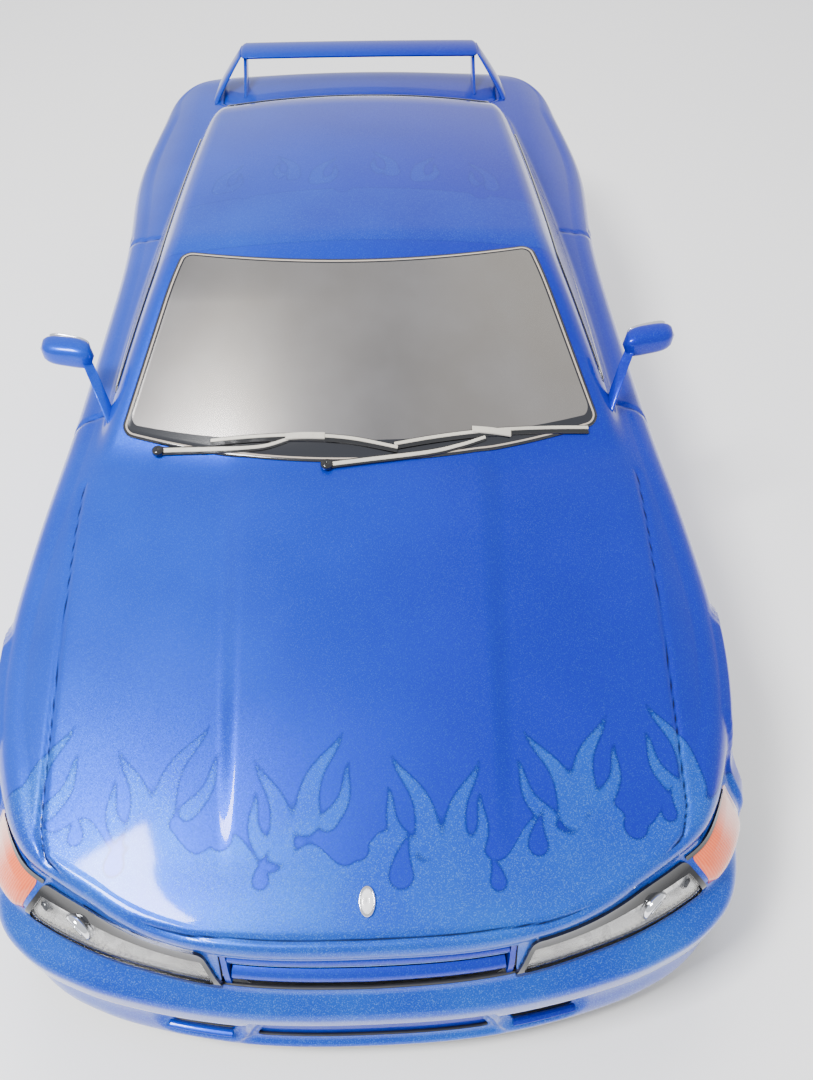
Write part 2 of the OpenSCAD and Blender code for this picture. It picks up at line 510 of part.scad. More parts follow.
// ---------------------------------------------------------------- suspension, for the right-hand side
// k is -1 where the damper stands in front of the arm and 1 where it stands behind
module lower_arm(y, k) color(black) translate([0, y, 0]) difference() {
  union() {
    translate([inner_x, 0, low_z]) rotate([90, 0, 0]) cylinder(r = 3.5, h = 17, center = true);
    translate([inner_x, 0, low_z - 2.5]) linear_extrude(5)
      polygon([[0, -8.5], [outer_x - inner_x - 6, -8], [outer_x - inner_x - 6, 8], [0, 8.5]]);
    both_y() translate([outer_x - 7, 4.6, low_z - 2.5]) cube([7, 3.4, 5]);
    both_y() translate([outer_x, 8, low_z]) rotate([90, 0, 0]) cylinder(r = 3.5, h = 3.4);
    translate([46.5, k > 0 ? 5.5 : -8.5, low_z]) cube([7, 3, 7]);
    translate([damp_low[0], k * 12, damp_low[1]]) rotate([90, 0, 0]) cylinder(r = pin_r, h = 8, center = true);
  }
  translate([inner_x, 0, low_z]) rotate([90, 0, 0]) cylinder(r = pin_r + run_gap, h = 20, center = true);
  translate([outer_x, 0, low_z]) rotate([90, 0, 0]) cylinder(r = pin_r + run_gap, h = 20, center = true);
  translate([outer_x - 5.6, -4.6, low_z - 5]) cube([12, 9.2, 10]);
  translate([36, 0, low_z - 5]) cylinder(r = 4, h = 10);
}
module both_y() { children(); mirror([0, 1, 0]) children(); }
module upper_link(y) color(black) translate([0, y, 0]) difference() {
  union() {
    translate([inner_x, 0, high_z]) rotate([90, 0, 0]) cylinder(r = 3.5, h = 17, center = true);
    translate([inner_x, -3, high_z - 2]) cube([outer_x - inner_x - 5, 6, 4]);
    translate([outer_x - 9, -7.6, high_z - 2]) cube([3.4, 15.2, 4]);
    both_y() translate([outer_x - 6, 4.6, high_z - 2]) cube([6, 3, 4]);
    both_y() translate([outer_x, 7.6, high_z]) rotate([90, 0, 0]) cylinder(r = 3, h = 3);
  }
  translate([inner_x, 0, high_z]) rotate([90, 0, 0]) cylinder(r = pin_r + run_gap, h = 20, center = true);
  translate([outer_x, 0, high_z]) rotate([90, 0, 0]) cylinder(r = pin_r + run_gap, h = 20, center = true);
}
// A lug between two ears, with the trunnion that turns in them
module lug(z) {
  translate([outer_x, 0, z]) rotate([90, 0, 0]) cylinder(r = 3.5, h = 8.8, center = true);
  translate([outer_x, 0, z]) rotate([90, 0, 0]) cylinder(r = pin_r, h = 16.4, center = true);
}
module front_hub_carrier() color(black) translate([0, yf, 0]) difference() {
  union() {
    lug(low_z);
    lug(high_z);
    translate([outer_x - 3.5, -4.4, low_z]) cube([7, 8.8, 5]);
    translate([outer_x - 3.5, -4.4, high_z - 5]) cube([7, 8.8, 5]);
    for (z = [20, 39]) translate([52, -5, z]) cube([king_x - 52, 10, 3]);
    for (z = [20, 39]) translate([king_x, 0, z]) cylinder(r = 5, h = 3);
    translate([52, -5, 20]) cube([3.5, 10, 22]);
  }
  translate([king_x, 0, 10]) cylinder(r = 2 + run_gap, h = 40);
}
module steering_knuckle(side) color(alloy) translate([king_x, yf, 0]) difference() {
  union() {
    translate([0, 0, 23.2]) cylinder(r = 4.4, h = 15.6);
    translate([0, 0, 20.4]) cylinder(r = 2, h = 21.2);
    translate([0, 0, axle_z]) rotate([0, 90, 0]) cylinder(r = 5, h = 8);
    translate([0, 0, axle_z]) rotate([0, 90, 0]) cylinder(r = 2.5, h = track_f - king_x + 11);
    rotate(-atan2(4, steer_arm)) translate([-2.2, 0, 29.5]) cube([4.4, norm([4, steer_arm]), 4]);
    translate([4, steer_arm, 29.5]) cylinder(r = 3.2, h = 4);
    translate([4, steer_arm, 33]) cylinder(r = pin_r, h = 12);
    translate([4, steer_arm, 44]) cylinder(r = 2.4, h = 1.4);
  }
}
module rear_hub_carrier() color(black) translate([0, yr, 0]) difference() {
  union() {
    lug(low_z);
    lug(high_z);
    translate([outer_x - 3.5, -4.4, low_z]) cube([7, 8.8, 6]);
    translate([outer_x - 3.5, -4.4, high_z - 6]) cube([7, 8.8, 6]);
    translate([outer_x, -9, 20.5]) cube([10, 18, 21]);
  }
  translate([40, 0, axle_z]) rotate([0, 90, 0]) cylinder(r = 7, h = 25);
  translate([40, 0, axle_z]) rotate([0, 90, 0]) cylinder(r = 3 + run_gap, h = 40);
}

// ---------------------------------------------------------------- wheels, with the street side towards +X
rim_r = 26;
module rim_shape(x, y, bore) color([0.85, 0.86, 0.88]) translate([x, y, axle_z]) rotate([90, 0, 90]) {
  difference() {
    union() {
      rotate_extrude($fn = 64) polygon([
        [rim_r - 1.6, -13], [rim_r, -13], [rim_r, -12], [rim_r, 12], [rim_r, 13], [rim_r - 1.6, 13],
        [rim_r - 3, 10], [rim_r - 3.5, 6], [rim_r - 2, 2]]);
      translate([0, 0, 2]) cylinder(r = 8, h = 4);
      for (a = [0:60:300]) rotate(a) translate([6, -2.2, 2.4]) cube([rim_r - 8.8, 4.4, 3.2]);
      translate([0, 0, -5]) cylinder(r = 7, h = 8);
    }
    translate([0, 0, -20]) cylinder(r = bore, h = 40);
    translate([0, 0, -6]) cylinder(r = 6.9, h = 5, $fn = 6);
  }
}
module nut(x, y) color(steel) translate([x + 6.1, y, axle_z]) rotate([0, 90, 0]) difference() {
  cylinder(r = 4, h = 4, $fn = 6);
  translate([0, 0, -1]) cylinder(r = 2.5 + run_gap, h = 8);
}
module rim(x, y) {
  rim_shape(x, y, 2.5 + run_gap);
  nut(x, y);
}
module tyre(x, y) color([0.09, 0.09, 0.09]) translate([x, y, axle_z]) rotate([90, 0, 90]) rotate_extrude($fn = 96) polygon([
  [rim_r, -tyre_w / 2], [tyre_r - 1.6, -tyre_w / 2], [tyre_r - 0.5, -tyre_w / 2 + 0.7], [tyre_r, -tyre_w / 2 + 2],
  [tyre_r, tyre_w / 2 - 2], [tyre_r - 0.5, tyre_w / 2 - 0.7], [tyre_r - 1.6, tyre_w / 2], [rim_r, tyre_w / 2]]);
module rear_axle() color(steel) translate([0, yr, axle_z]) rotate([0, 90, 0]) difference() {
  union() {
    translate([0, 0, 50]) cylinder(r = 6, h = 7);
    translate([0, 0, 56]) cylinder(r = 3, h = 17);
    translate([0, 0, 72]) cylinder(r = 2.5, h = track_r - 72 + 11);
    translate([0, 0, track_r - 5]) rotate(30) cylinder(r = 6.7, h = 4, $fn = 6);
  }
  translate([0, 0, 48]) cylinder(r = 4.2, h = 8.1);
}

// ---------------------------------------------------------------- steering
horn_d = 4;          // half the distance between the two studs on the horn
module servo_saver() color([0.2, 0.2, 0.22]) translate([0, yf, 0]) {
  difference() {
    union() {
      translate([0, 0, 32]) cylinder(r = 6, h = 4);
      translate([-3, 0, 32]) cube([6, steer_arm - 3, 4]);
      translate([-horn_d - 3, steer_arm - 3, 32]) cube([2 * horn_d + 6, 6, 4]);
    }
    translate([0, 0, 31]) cylinder(r = 3 + run_gap, h = 6);
  }
  for (x = [-horn_d, horn_d]) translate([x, steer_arm, 36]) {
    cylinder(r = pin_r, h = 6);
    translate([0, 0, 5.3]) cylinder(r = 2.4, h = 0.9);
  }
}
module tie_rod() color(steel) translate([horn_d, yf + steer_arm, 39]) difference() {
  union() {
    cylinder(r = 3.4, h = 4, center = true);
    translate([king_x, 0, 0]) cylinder(r = 3.4, h = 4, center = true);
    rotate([0, 90, 0]) cylinder(r = 1.6, h = king_x);
  }
  cylinder(r = pin_r + run_gap, h = 6, center = true);
  translate([king_x, 0, 0]) cylinder(r = pin_r + 0.4, h = 6, center = true);
}

// ---------------------------------------------------------------- drive
module gear(teeth, h, bore) difference() {
  r = gear_mod * teeth / 2;
  linear_extrude(h, center = true) union() {
    circle(r = r - 1.2 * gear_mod, $fn = 96);
    for (i = [0:teeth - 1]) rotate(i * 360 / teeth)
      polygon([[r - 1.7 * gear_mod, -0.42], [r, -0.36], [r + 0.9 * gear_mod, -0.14],
               [r + 0.9 * gear_mod, 0.14], [r, 0.36], [r - 1.7 * gear_mod, 0.42]]);
  }
  cylinder(r = bore, h = h + 2, center = true);
}
module spool_gear() translate([0, yr, axle_z]) rotate([0, 90, 0]) {
  color(black) translate([0, 0, 14]) gear(spur_teeth, 4, 6);
  color(steel) difference() {
    union() {
      translate([0, 0, -23.5]) cylinder(r = 5, h = 47);
      translate([0, 0, -16]) cylinder(r = 6, h = 32);
      for (k = [-1, 1]) translate([0, 0, k * 27.5]) cylinder(r = 6, h = 8, center = true);
    }
    for (k = [-1, 1]) translate([0, 0, k * 28.5]) cylinder(r = 4.2, h = 9, center = true);
  }
  color(alloy) for (k = [-1, 1]) translate([0, 0, k * 20.25]) difference() {
    cylinder(r = 7.95, h = 5, center = true);
    cylinder(r = 5, h = 6, center = true);
  }
}
module motor_pinion() translate([0, mot_y, mot_z]) rotate([0, 90, 0]) {
  color([0.8, 0.65, 0.3]) translate([0, 0, 14]) rotate(180 / pinion_teeth) gear(pinion_teeth, 5, 1.6);
  color(steel) translate([0, 0, -40]) cylinder(r = 1.6, h = 57);
}
module drive_shaft() color(steel) translate([0, yr, axle_z]) rotate([0, 90, 0]) {
  translate([0, 0, 28]) cylinder(r = 2, h = 24);
  for (x = [28.5, 51.5]) translate([0, 0, x]) sphere(r = 3, $fn = 32);
}

body_shell();
windows();
lamps();
grille_and_badge();
door_mirrors();
rear_wing();
shell_magnets();
chassis_plate();
upper_deck();
bulkheads();
shock_towers();
motor();
battery();
speed_controller();
receiver();
steering_servo();
front_bumper();
body_posts();
pins_and_screws();
wiring();
coil_springs();
servo_saver();
tie_rod();  // tie_rod_right
mirror([1, 0, 0]) tie_rod();  // tie_rod_left
spool_gear();
motor_pinion();
drive_shaft();  // drive_shaft_right
mirror([1, 0, 0]) drive_shaft();  // drive_shaft_left
lower_arm(yf, -1);  // front_lower_arm_right
mirror([1, 0, 0]) lower_arm(yf, -1);  // front_lower_arm_left
upper_link(yf);  // front_upper_link_right
mirror([1, 0, 0]) upper_link(yf);  // front_upper_link_left
front_hub_carrier();  // front_hub_carrier_right
mirror([1, 0, 0]) front_hub_carrier();  // front_hub_carrier_left
steering_knuckle();  // steering_knuckle_right
mirror([1, 0, 0]) steering_knuckle();  // steering_knuckle_left
rim(track_f, yf);  // front_rim_right
mirror([1, 0, 0]) rim(track_f, yf);  // front_rim_left
tyre(track_f, yf);  // front_tyre_right
mirror([1, 0, 0]) tyre(track_f, yf);  // front_tyre_left
damper_place(yf, -1) damper_body();  // front_damper_body_right
mirror([1, 0, 0]) damper_place(yf, -1) damper_body();  // front_damper_body_left
damper_place(yf, -1) damper_shaft();  // front_damper_shaft_right
mirror([1, 0, 0]) damper_place(yf, -1) damper_shaft();  // front_damper_shaft_left
lower_arm(yr, 1);  // rear_lower_arm_right
mirror([1, 0, 0]) lower_arm(yr, 1);  // rear_lower_arm_left
upper_link(yr);  // rear_upper_link_right
mirror([1, 0, 0]) upper_link(yr);  // rear_upper_link_left
rear_hub_carrier();  // rear_hub_carrier_right
mirror([1, 0, 0]) rear_hub_carrier();  // rear_hub_carrier_left
rear_axle();  // rear_axle_right
mirror([1, 0, 0]) rear_axle();  // rear_axle_left
rim(track_r, yr);  // rear_rim_right
mirror([1, 0, 0]) rim(track_r, yr);  // rear_rim_left
tyre(track_r, yr);  // rear_tyre_right
mirror([1, 0, 0]) tyre(track_r, yr);  // rear_tyre_left
damper_place(yr, 1) damper_body();  // rear_damper_body_right
mirror([1, 0, 0]) damper_place(yr, 1) damper_body();  // rear_damper_body_left
damper_place(yr, 1) damper_shaft();  // rear_damper_shaft_right
mirror([1, 0, 0]) damper_place(yr, 1) damper_shaft();  // rear_damper_shaft_left
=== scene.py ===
"""Looks for the 1/10 radio-controlled drift car. Lengths here are millimetres until a mesh is made."""
import json
import math

import bpy
import numpy as np
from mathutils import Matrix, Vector


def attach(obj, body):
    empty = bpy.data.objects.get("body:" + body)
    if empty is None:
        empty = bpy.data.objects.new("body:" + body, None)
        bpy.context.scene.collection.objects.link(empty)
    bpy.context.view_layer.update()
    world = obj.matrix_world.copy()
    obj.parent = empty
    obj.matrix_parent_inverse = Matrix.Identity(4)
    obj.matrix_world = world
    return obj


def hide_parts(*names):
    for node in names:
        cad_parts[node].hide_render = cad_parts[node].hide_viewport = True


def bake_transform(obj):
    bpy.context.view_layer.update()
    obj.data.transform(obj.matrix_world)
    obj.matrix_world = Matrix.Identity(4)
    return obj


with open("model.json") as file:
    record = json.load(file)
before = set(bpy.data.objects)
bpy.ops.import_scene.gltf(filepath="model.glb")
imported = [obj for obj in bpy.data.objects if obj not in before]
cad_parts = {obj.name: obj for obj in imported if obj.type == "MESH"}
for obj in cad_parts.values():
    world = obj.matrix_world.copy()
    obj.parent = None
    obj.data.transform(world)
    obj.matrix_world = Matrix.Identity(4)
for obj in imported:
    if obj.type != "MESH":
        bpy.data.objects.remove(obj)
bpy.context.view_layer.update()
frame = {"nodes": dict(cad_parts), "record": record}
MM = 0.001

# ------------------------------------------------------------------ the car's surface, as in the CAD model
BODY_L, DOOR_HW, FLARE, ROOF_Z = 440.0, 95.5, 6.5, 125.0
FRONT_AXLE, REAR_AXLE, AXLE_Z, ARCH_R = -136.0, 121.0, 31.0, 36.5
DECK = [(-220, 54), (-214, 58.5), (-206, 62.5), (-190, 66.5), (-150, 75.5), (-110, 83), (-82, 87.5),
        (-40, 89.5), (40, 91), (110, 93), (160, 94.3), (195, 94.6), (208, 93.6), (216, 90), (220, 86)]
SIDE = [(8, -1), (16, 1.5), (24, -2.5), (40, -0.5), (58, 0), (80, -1.5)]
NOSE = [(8, 1.6), (12, 2.6), (20, 1), (28, 0.4), (30.5, 2.6), (36, 3), (40, 2.4), (44, 0), (60, 0)]
CORNER = [(0, 0), (0.4, 0), (0.6, 1.5), (0.8, 5), (1, 9), (1.2, 11), (1.4, 9), (1.7, 3), (2, 0)]
LAMP_FOOT = [(0, -2), (0.4, -2.5), (0.6, -2), (0.8, 0.5), (1, 4), (1.2, 8), (1.4, 8), (1.7, 3), (2, 0)]
SET_BACK = [(0, 5.5), (0.8, 5.5), (1, 3.5), (1.2, 0), (1.4, -1), (1.7, 0), (2, 0)]
TAIL = [(12, 0), (18, 1.5), (36, 2), (50, 1.6), (56, 0), (80, -0.5), (96, -1)]
NOSE_Y, TAIL_Y, NOSE_N, TAIL_N = -110.0, 150.0, 3.0, 4.5
NOSE_B = BODY_L / 2 - 3 + NOSE_Y
TAIL_B = BODY_L / 2 - 2 - TAIL_Y
SPINE_FROM, SPINE_TO = -205.5, 210
SIDES = (("right", 1), ("left", -1))


def smin(a, b, k):
    h = np.maximum(k - np.abs(a - b), 0) / k
    return np.minimum(a, b) - h * h * k / 4


def smax(a, b, k):
    return -smin(-a, -b, k)


def ramp(a, b, x):
    t = np.clip((x - a) / (b - a), 0, 1)
    return t * t * (3 - 2 * t)


def mix(a, b, t):
    return a + (b - a) * t


def bell(x):
    return np.exp(-x * x)


def curve(points, t):
    """Smooth curve through points (t, value), each slope taken from its two neighbours."""
    p = np.array(points, float)
    n = len(p)
    lo, hi = np.maximum(np.arange(n) - 1, 0), np.minimum(np.arange(n) + 1, n - 1)
    s = (p[hi, 1] - p[lo, 1]) / (p[hi, 0] - p[lo, 0])
    t = np.clip(t, p[0, 0], p[-1, 0])
    i = np.clip(np.searchsorted(p[:, 0], t, side="right") - 1, 0, n - 2)
    h = p[i + 1, 0] - p[i, 0]
    u = (t - p[i, 0]) / h
    v = 1 - u
    value = p[i, 1] * (1 + 2 * u) * v * v + p[i + 1, 1] * u * u * (3 - 2 * u)
    return value + s[i] * h * u * v * v - s[i + 1] * h * u * u * v


def half_w(y):
    return DOOR_HW + FLARE * bell((y - FRONT_AXLE - 6) / 48) + FLARE * bell((y - REAR_AXLE) / 48)


def bow_front(x):
    return 17 * (x / 78) ** 2


def bow_rear(x):
    return 12 * (x / 70) ** 2


def belt_x(y):
    return 81.5 - 0.0003 * (y + 20) ** 2


def bulge(x, y):
    k = np.clip((-85 - y) / 107, 0, 1)
    c, w = mix(38.5, 33.5, k), mix(9, 4, k)
    return 1.6 * (1 - ramp(c - w / 2, c + w / 2, x)) * ramp(-196, -150, y) * (1 - ramp(-70, -30, y))


def bonnet(x, y):
    crown = curve(DECK, np.clip(y, -219.9, 219.9)) - 3.5 * (x / 82) ** 2
    return crown - 0.015 * np.maximum(x - 78, 0) ** 2 + bulge(x, y)


def cabin(x, y):
    roof = ROOF_Z - 0.0006 * (y - 38) ** 2 - 3.4 * (x / 60) ** 2
    screen = 88 + (y + 82 - bow_front(x)) * 0.545
    rear = 94.6 + (163 - bow_rear(x) - y) * 0.52
    side = 88.5 + (belt_x(y) - x) * 1.75
    return smin(smin(smin(roof, screen, 7), rear, 6), side, 8)


def top(x, y):
    """Height of the top surface at a place in plan."""
    x = np.abs(x)
    return smax(bonnet(x, y), cabin(x, y), 2.5)


def superellipse(s):
    """Plan outline (x, y) at place s: 0 nose, 1 its corner, 2 to 3 the side, 4 the rear corner, 5 the tail."""
    s = np.asarray(s, float)
    front = s <= 2
    p = np.where(front, np.minimum(s, 1), np.minimum(5 - s, 1))
    q = np.where(front, np.minimum(2 - s, 1), np.minimum(s - 3, 1))
    n = np.where(front, NOSE_N, TAIL_N)
    p, q = np.maximum(p, 0), np.maximum(q, 0)
    k = np.maximum(p, q) / (p ** n + q ** n) ** (1 / n)
    side = (s > 2) & (s <= 3)
    ends = np.where(front, NOSE_Y - NOSE_B * q * k, TAIL_Y + TAIL_B * q * k)
    y = np.where(side, mix(NOSE_Y, TAIL_Y, s - 2), ends)
    x = half_w(y) * np.where(side, 1, p * k)
    return np.stack([x, y], -1)


def out_dir(s):
    s = np.asarray(s, float)
    d = superellipse(np.minimum(s + 0.01, 5)) - superellipse(np.maximum(s - 0.01, 0))
    v = np.stack([d[..., 1], -d[..., 0]], -1)
    v /= np.linalg.norm(v, axis=-1, keepdims=True)
    v[s <= 0] = (0, -1)
    v[s >= 5] = (0, 1)
    return v


def nose_part(y):
    return 1 - ramp(-190, -166, y)


def tail_part(y):
    return ramp(168, 196, y)


def fillet(y):
    return mix(9, 4, np.maximum(nose_part(y), tail_part(y)))


def skirt_off(y, z):
    a, b = nose_part(y), tail_part(y)
    return (curve(NOSE, np.clip(z, 8, 60)) * a + curve(TAIL, np.clip(z, 12, 96)) * b
            + curve(SIDE, np.clip(z, 8, 80)) * (1 - a - b))


def low_edge(y):
    return 10 - nose_part(y) + 4 * tail_part(y)


def inset(s):
    o = superellipse(s)
    back = curve(SET_BACK, np.minimum(s, 2))
    return o - out_dir(s) * (fillet(o[..., 1]) + back)[..., None]


def shoulder_z(s):
    i = inset(s)
    return top(i[..., 0], i[..., 1]) - fillet(superellipse(s)[..., 1])


def skirt_pt(s, z, e=0.0):
    """Point of the skirt at outline place s and height z, pushed out by e."""
    s, z = np.broadcast_arrays(np.asarray(s, float), np.asarray(z, float))
    o, d, zs = superellipse(s), out_dir(s), shoulder_z(s)
    up, rim, f = ramp(38, 45, z), ramp(zs - 12, zs, z), np.minimum(s, 2)
    front = curve(CORNER, f) * (1 - up) + curve(LAMP_FOOT, f) * up * (1 - rim) - curve(SET_BACK, f) * rim
    off = skirt_off(o[..., 1], z) - skirt_off(o[..., 1], zs) * rim + front + e
    p = o + d * off[..., None]
    x = np.where((s <= 0) | (s >= 5), 0, p[..., 0])
    return np.stack([x, p[..., 1], z], -1)


def fillet_pt(s, a):
    s, a = np.broadcast_arrays(np.asarray(s, float), np.radians(a))
    i, d = inset(s), out_dir(s)
    r = fillet(superellipse(s)[..., 1])
    p = i + d * (r * np.cos(a))[..., None]
    x = np.where((s <= 0) | (s >= 5), 0, p[..., 0])
    return np.stack([x, p[..., 1], shoulder_z(s) + r * np.sin(a)], -1)


def top_pt(s, f):
    s, f = np.broadcast_arrays(np.asarray(s, float), np.asarray(f, float))
    i = inset(s)
    spine = np.where(s <= 3, mix(NOSE_Y, TAIL_Y, s - 2), mix(TAIL_Y, SPINE_TO, (s - 3) / 2))
    spine = np.where(s <= 2, mix(SPINE_FROM, NOSE_Y, s / 2), spine)
    x = np.where((s <= 0) | (s >= 5), 0, i[..., 0]) * f
    y = mix(spine, i[..., 1], f)
    return np.stack([x, y, top(x, y)], -1)


# ------------------------------------------------------------------ mesh tools
def unit(v):
    return v / np.maximum(np.linalg.norm(v, axis=-1, keepdims=True), 1e-12)


def grid_tris(rows, cols):
    i, j = np.meshgrid(np.arange(rows - 1), np.arange(cols - 1), indexing="ij")
    a = (i * cols + j).ravel()
    quads = np.stack([a, a + 1, a + cols + 1, a + cols], 1)
    return np.concatenate([quads[:, [0, 2, 1]], quads[:, [0, 3, 2]]])


def clip(v, t, g, attrs):
    """The part of a triangle mesh where g is above 0: vertices, triangles and attributes."""
    inside = g > 0
    count = inside[t].sum(1)
    keep = t[count == 3]
    new = {}
    extra_v, extra = [], {k: [] for k in attrs}

    def cut(a, b):
        key = (a, b) if a < b else (b, a)
        if key not in new:
            a, b = key
            w = g[a] / (g[a] - g[b])
            w = min(max(w, 0.02), 0.98)
            new[key] = len(v) + len(extra_v)
            extra_v.append(v[a] + (v[b] - v[a]) * w)
            for k in attrs:
                extra[k].append(attrs[k][a] + (attrs[k][b] - attrs[k][a]) * w)
        return new[key]

    made = []
    for tri in t[(count == 1) | (count == 2)]:
        ins = inside[tri]
        odd = int(np.argmax(ins)) if ins.sum() == 1 else int(np.argmin(ins))
        a, b, c = (int(tri[(odd + k) % 3]) for k in range(3))
        ab, ac = cut(a, b), cut(a, c)
        if ins.sum() == 1:
            made.append((a, ab, ac))
        else:
            made.append((ab, b, c))
            made.append((ab, c, ac))
    v2 = np.concatenate([v, np.array(extra_v).reshape(-1, 3)]) if extra_v else v
    a2 = {k: np.concatenate([attrs[k], np.array(extra[k])]) if extra_v else attrs[k] for k in attrs}
    t2 = np.concatenate([keep, np.array(made, int).reshape(-1, 3)])
    used = np.unique(t2)
    back = np.zeros(len(v2), int)
    back[used] = np.arange(len(used))
    return v2[used], back[t2], {k: a2[k][used] for k in a2}


def vertex_normals(v, t):
    n = np.cross(v[t[:, 1]] - v[t[:, 0]], v[t[:, 2]] - v[t[:, 0]])
    out = np.zeros_like(v)
    for k in range(3):
        np.add.at(out, t[:, k], n)
    return unit(out)


def boundary_edges(t):
    e = np.concatenate([t[:, [0, 1]], t[:, [1, 2]], t[:, [2, 0]]])
    key = e.min(1) * (t.max() + 1) + e.max(1)
    _, first, count = np.unique(key, return_index=True, return_counts=True)
    return e[first[count == 1]]


def thicken(v, t, thickness, attrs):
    """A closed skin: the sheet, its copy pushed inwards, and a rim, with material index and attributes."""
    inner = v - vertex_normals(v, t) * thickness
    edges = boundary_edges(t)
    k = len(v)
    rim = np.concatenate([np.stack([edges[:, 1], edges[:, 0], edges[:, 0] + k], 1),
                          np.stack([edges[:, 1], edges[:, 0] + k, edges[:, 1] + k], 1)])
    tris = np.concatenate([t, t[:, ::-1] + k, rim])
    mat = np.concatenate([np.zeros(len(t), int), np.ones(len(t) + len(rim), int)])
    return np.concatenate([v, inner]), tris, mat, {k: np.concatenate([a, a]) for k, a in attrs.items()}


def make_mesh(name, v, faces, mats, mat_index=None, attrs=None, smooth=True, sharp_deg=None):
    """Object from vertices in millimetres. faces is an array of triangles or a list of polygons."""
    me = bpy.data.meshes.new(name)
    v = np.asarray(v, float) * MM
    if isinstance(faces, np.ndarray):
        me.vertices.add(len(v))
        me.vertices.foreach_set("co", v.ravel())
        size = faces.shape[1]
        me.loops.add(len(faces) * size)
        me.loops.foreach_set("vertex_index", faces.ravel().astype(np.int32))
        me.polygons.add(len(faces))
        me.polygons.foreach_set("loop_start", np.arange(0, len(faces) * size, size, dtype=np.int32))
        me.update(calc_edges=True)
    else:
        me.from_pydata([tuple(p) for p in v], [], [tuple(int(i) for i in f) for f in faces])
    for m in mats:
        me.materials.append(m)
    if mat_index is not None:
        me.polygons.foreach_set("material_index", np.asarray(mat_index, dtype=np.int32))
    me.validate()
    for key, val in (attrs or {}).items():
        a = me.attributes.new(key, "FLOAT", "POINT")
        a.data.foreach_set("value", np.asarray(val, dtype=np.float32))
    me.polygons.foreach_set("use_smooth", np.full(len(me.polygons), bool(smooth)))
    if sharp_deg:
        me.set_sharp_from_angle(angle=math.radians(sharp_deg))
    me.update()
    ob = bpy.data.objects.new(name, me)
    bpy.context.scene.collection.objects.link(ob)
    return ob


def piece(name, v, faces, mats, body, slot=None, replaces=(), **more):
    ob = make_mesh(name, v, faces, mats, **more)
    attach(ob, body)
    if replaces:
        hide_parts(*replaces)
    return ob


def mirrored(v, faces):
    v = np.array(v, float)
    v[:, 0] *= -1
    f = faces[:, ::-1] if isinstance(faces, np.ndarray) else [tuple(reversed(q)) for q in faces]
    return v, f


def both_sides(name, v, f, mats, slot, replace=(), **more):
    """A piece of the shell on the right and its mirror image on the left."""
    piece(name + "_right", v, f, mats, "shell", slot, replace, **more)
    v, f = mirrored(v, f)
    piece(name + "_left", v, f, mats, "shell", slot, **more)


def lathe(profile, n=96, axis="x", centre=(0, 0, 0)):
    """Closed ring from a closed profile of (radius, along) points."""
    p = np.array(profile, float)
    a = np.linspace(0, 2 * math.pi, n, endpoint=False)
    r, h = p[:, 0], p[:, 1]
    ring = np.stack([np.tile(h, (n, 1)), np.outer(np.cos(a), r), np.outer(np.sin(a), r)], -1)
    v = ring.reshape(-1, 3)
    if axis == "z":
        v = v[:, [1, 2, 0]]
    elif axis == "y":
        v = v[:, [2, 0, 1]]
    m = len(p)
    i, j = np.meshgrid(np.arange(n), np.arange(m), indexing="ij")
    a0, a1 = i * m + j, i * m + (j + 1) % m
    b0, b1 = ((i + 1) % n) * m + j, ((i + 1) % n) * m + (j + 1) % m
    q = np.stack([a0.ravel(), a1.ravel(), b1.ravel(), b0.ravel()], 1)
    if signed_volume(v, q) < 0:
        q = q[:, ::-1]
    return v + np.array(centre, float), q


def signed_volume(v, q):
    total = 0.0
    for k in range(1, q.shape[1] - 1):
        a, b, c = v[q[:, 0]], v[q[:, k]], v[q[:, k + 1]]
        total += np.einsum("ij,ij->i", a, np.cross(b, c)).sum() / 6
    return total


def tube(points, radius, n=10):
    """Round wire along points, with flat ends."""
    p = np.array(points, float)
    m = len(p)
    t = unit(np.gradient(p, axis=0))
    up = np.array([0.0, 0, 1]) if abs(t[0, 2]) < 0.9 else np.array([1.0, 0, 0])
    side = unit(np.cross(t[0], up))
    sides = [side]
    for k in range(1, m):
        s = sides[-1] - t[k] * np.dot(sides[-1], t[k])
        sides.append(unit(s))
    a = np.array(sides)
    b = np.cross(t, a)
    ang = np.linspace(0, 2 * math.pi, n, endpoint=False)
    turn = np.cos(ang)[None, :, None] * a[:, None] + np.sin(ang)[None, :, None] * b[:, None]
    v = (p[:, None] + radius * turn).reshape(-1, 3)
    faces = []
    for i in range(m - 1):
        for k in range(n):
            l = (k + 1) % n
            faces.append((i * n + k, i * n + l, (i + 1) * n + l, (i + 1) * n + k))
    faces.append(tuple(range(n - 1, -1, -1)))
    faces.append(tuple((m - 1) * n + k for k in range(n)))
    return v, faces


def smooth_run(points, m=6):
    """m points for each gap between given points, on a smooth curve."""
    p = np.array(points, float)
    t = np.arange(len(p))
    u = np.linspace(0, len(p) - 1, m * (len(p) - 1) + 1)
    return np.stack([curve(list(zip(t, p[:, c])), u) for c in range(3)], 1)


def join(parts):
    """Several (vertices, polygons) as one."""
    v, f, k = [], [], 0
    for pv, pf in parts:
        v.append(np.asarray(pv, float))
        f += [tuple(int(i) + k for i in q) for q in pf]
        k += len(pv)
    return np.concatenate(v), f


def box(lo, hi):
    (x0, y0, z0), (x1, y1, z1) = lo, hi
    v = [(x, y, z) for x in (x0, x1) for y in (y0, y1) for z in (z0, z1)]
    f = [(0, 1, 3, 2), (4, 6, 7, 5), (0, 4, 5, 1), (2, 3, 7, 6), (0, 2, 6, 4), (1, 5, 7, 3)]
    return np.array(v, float), f


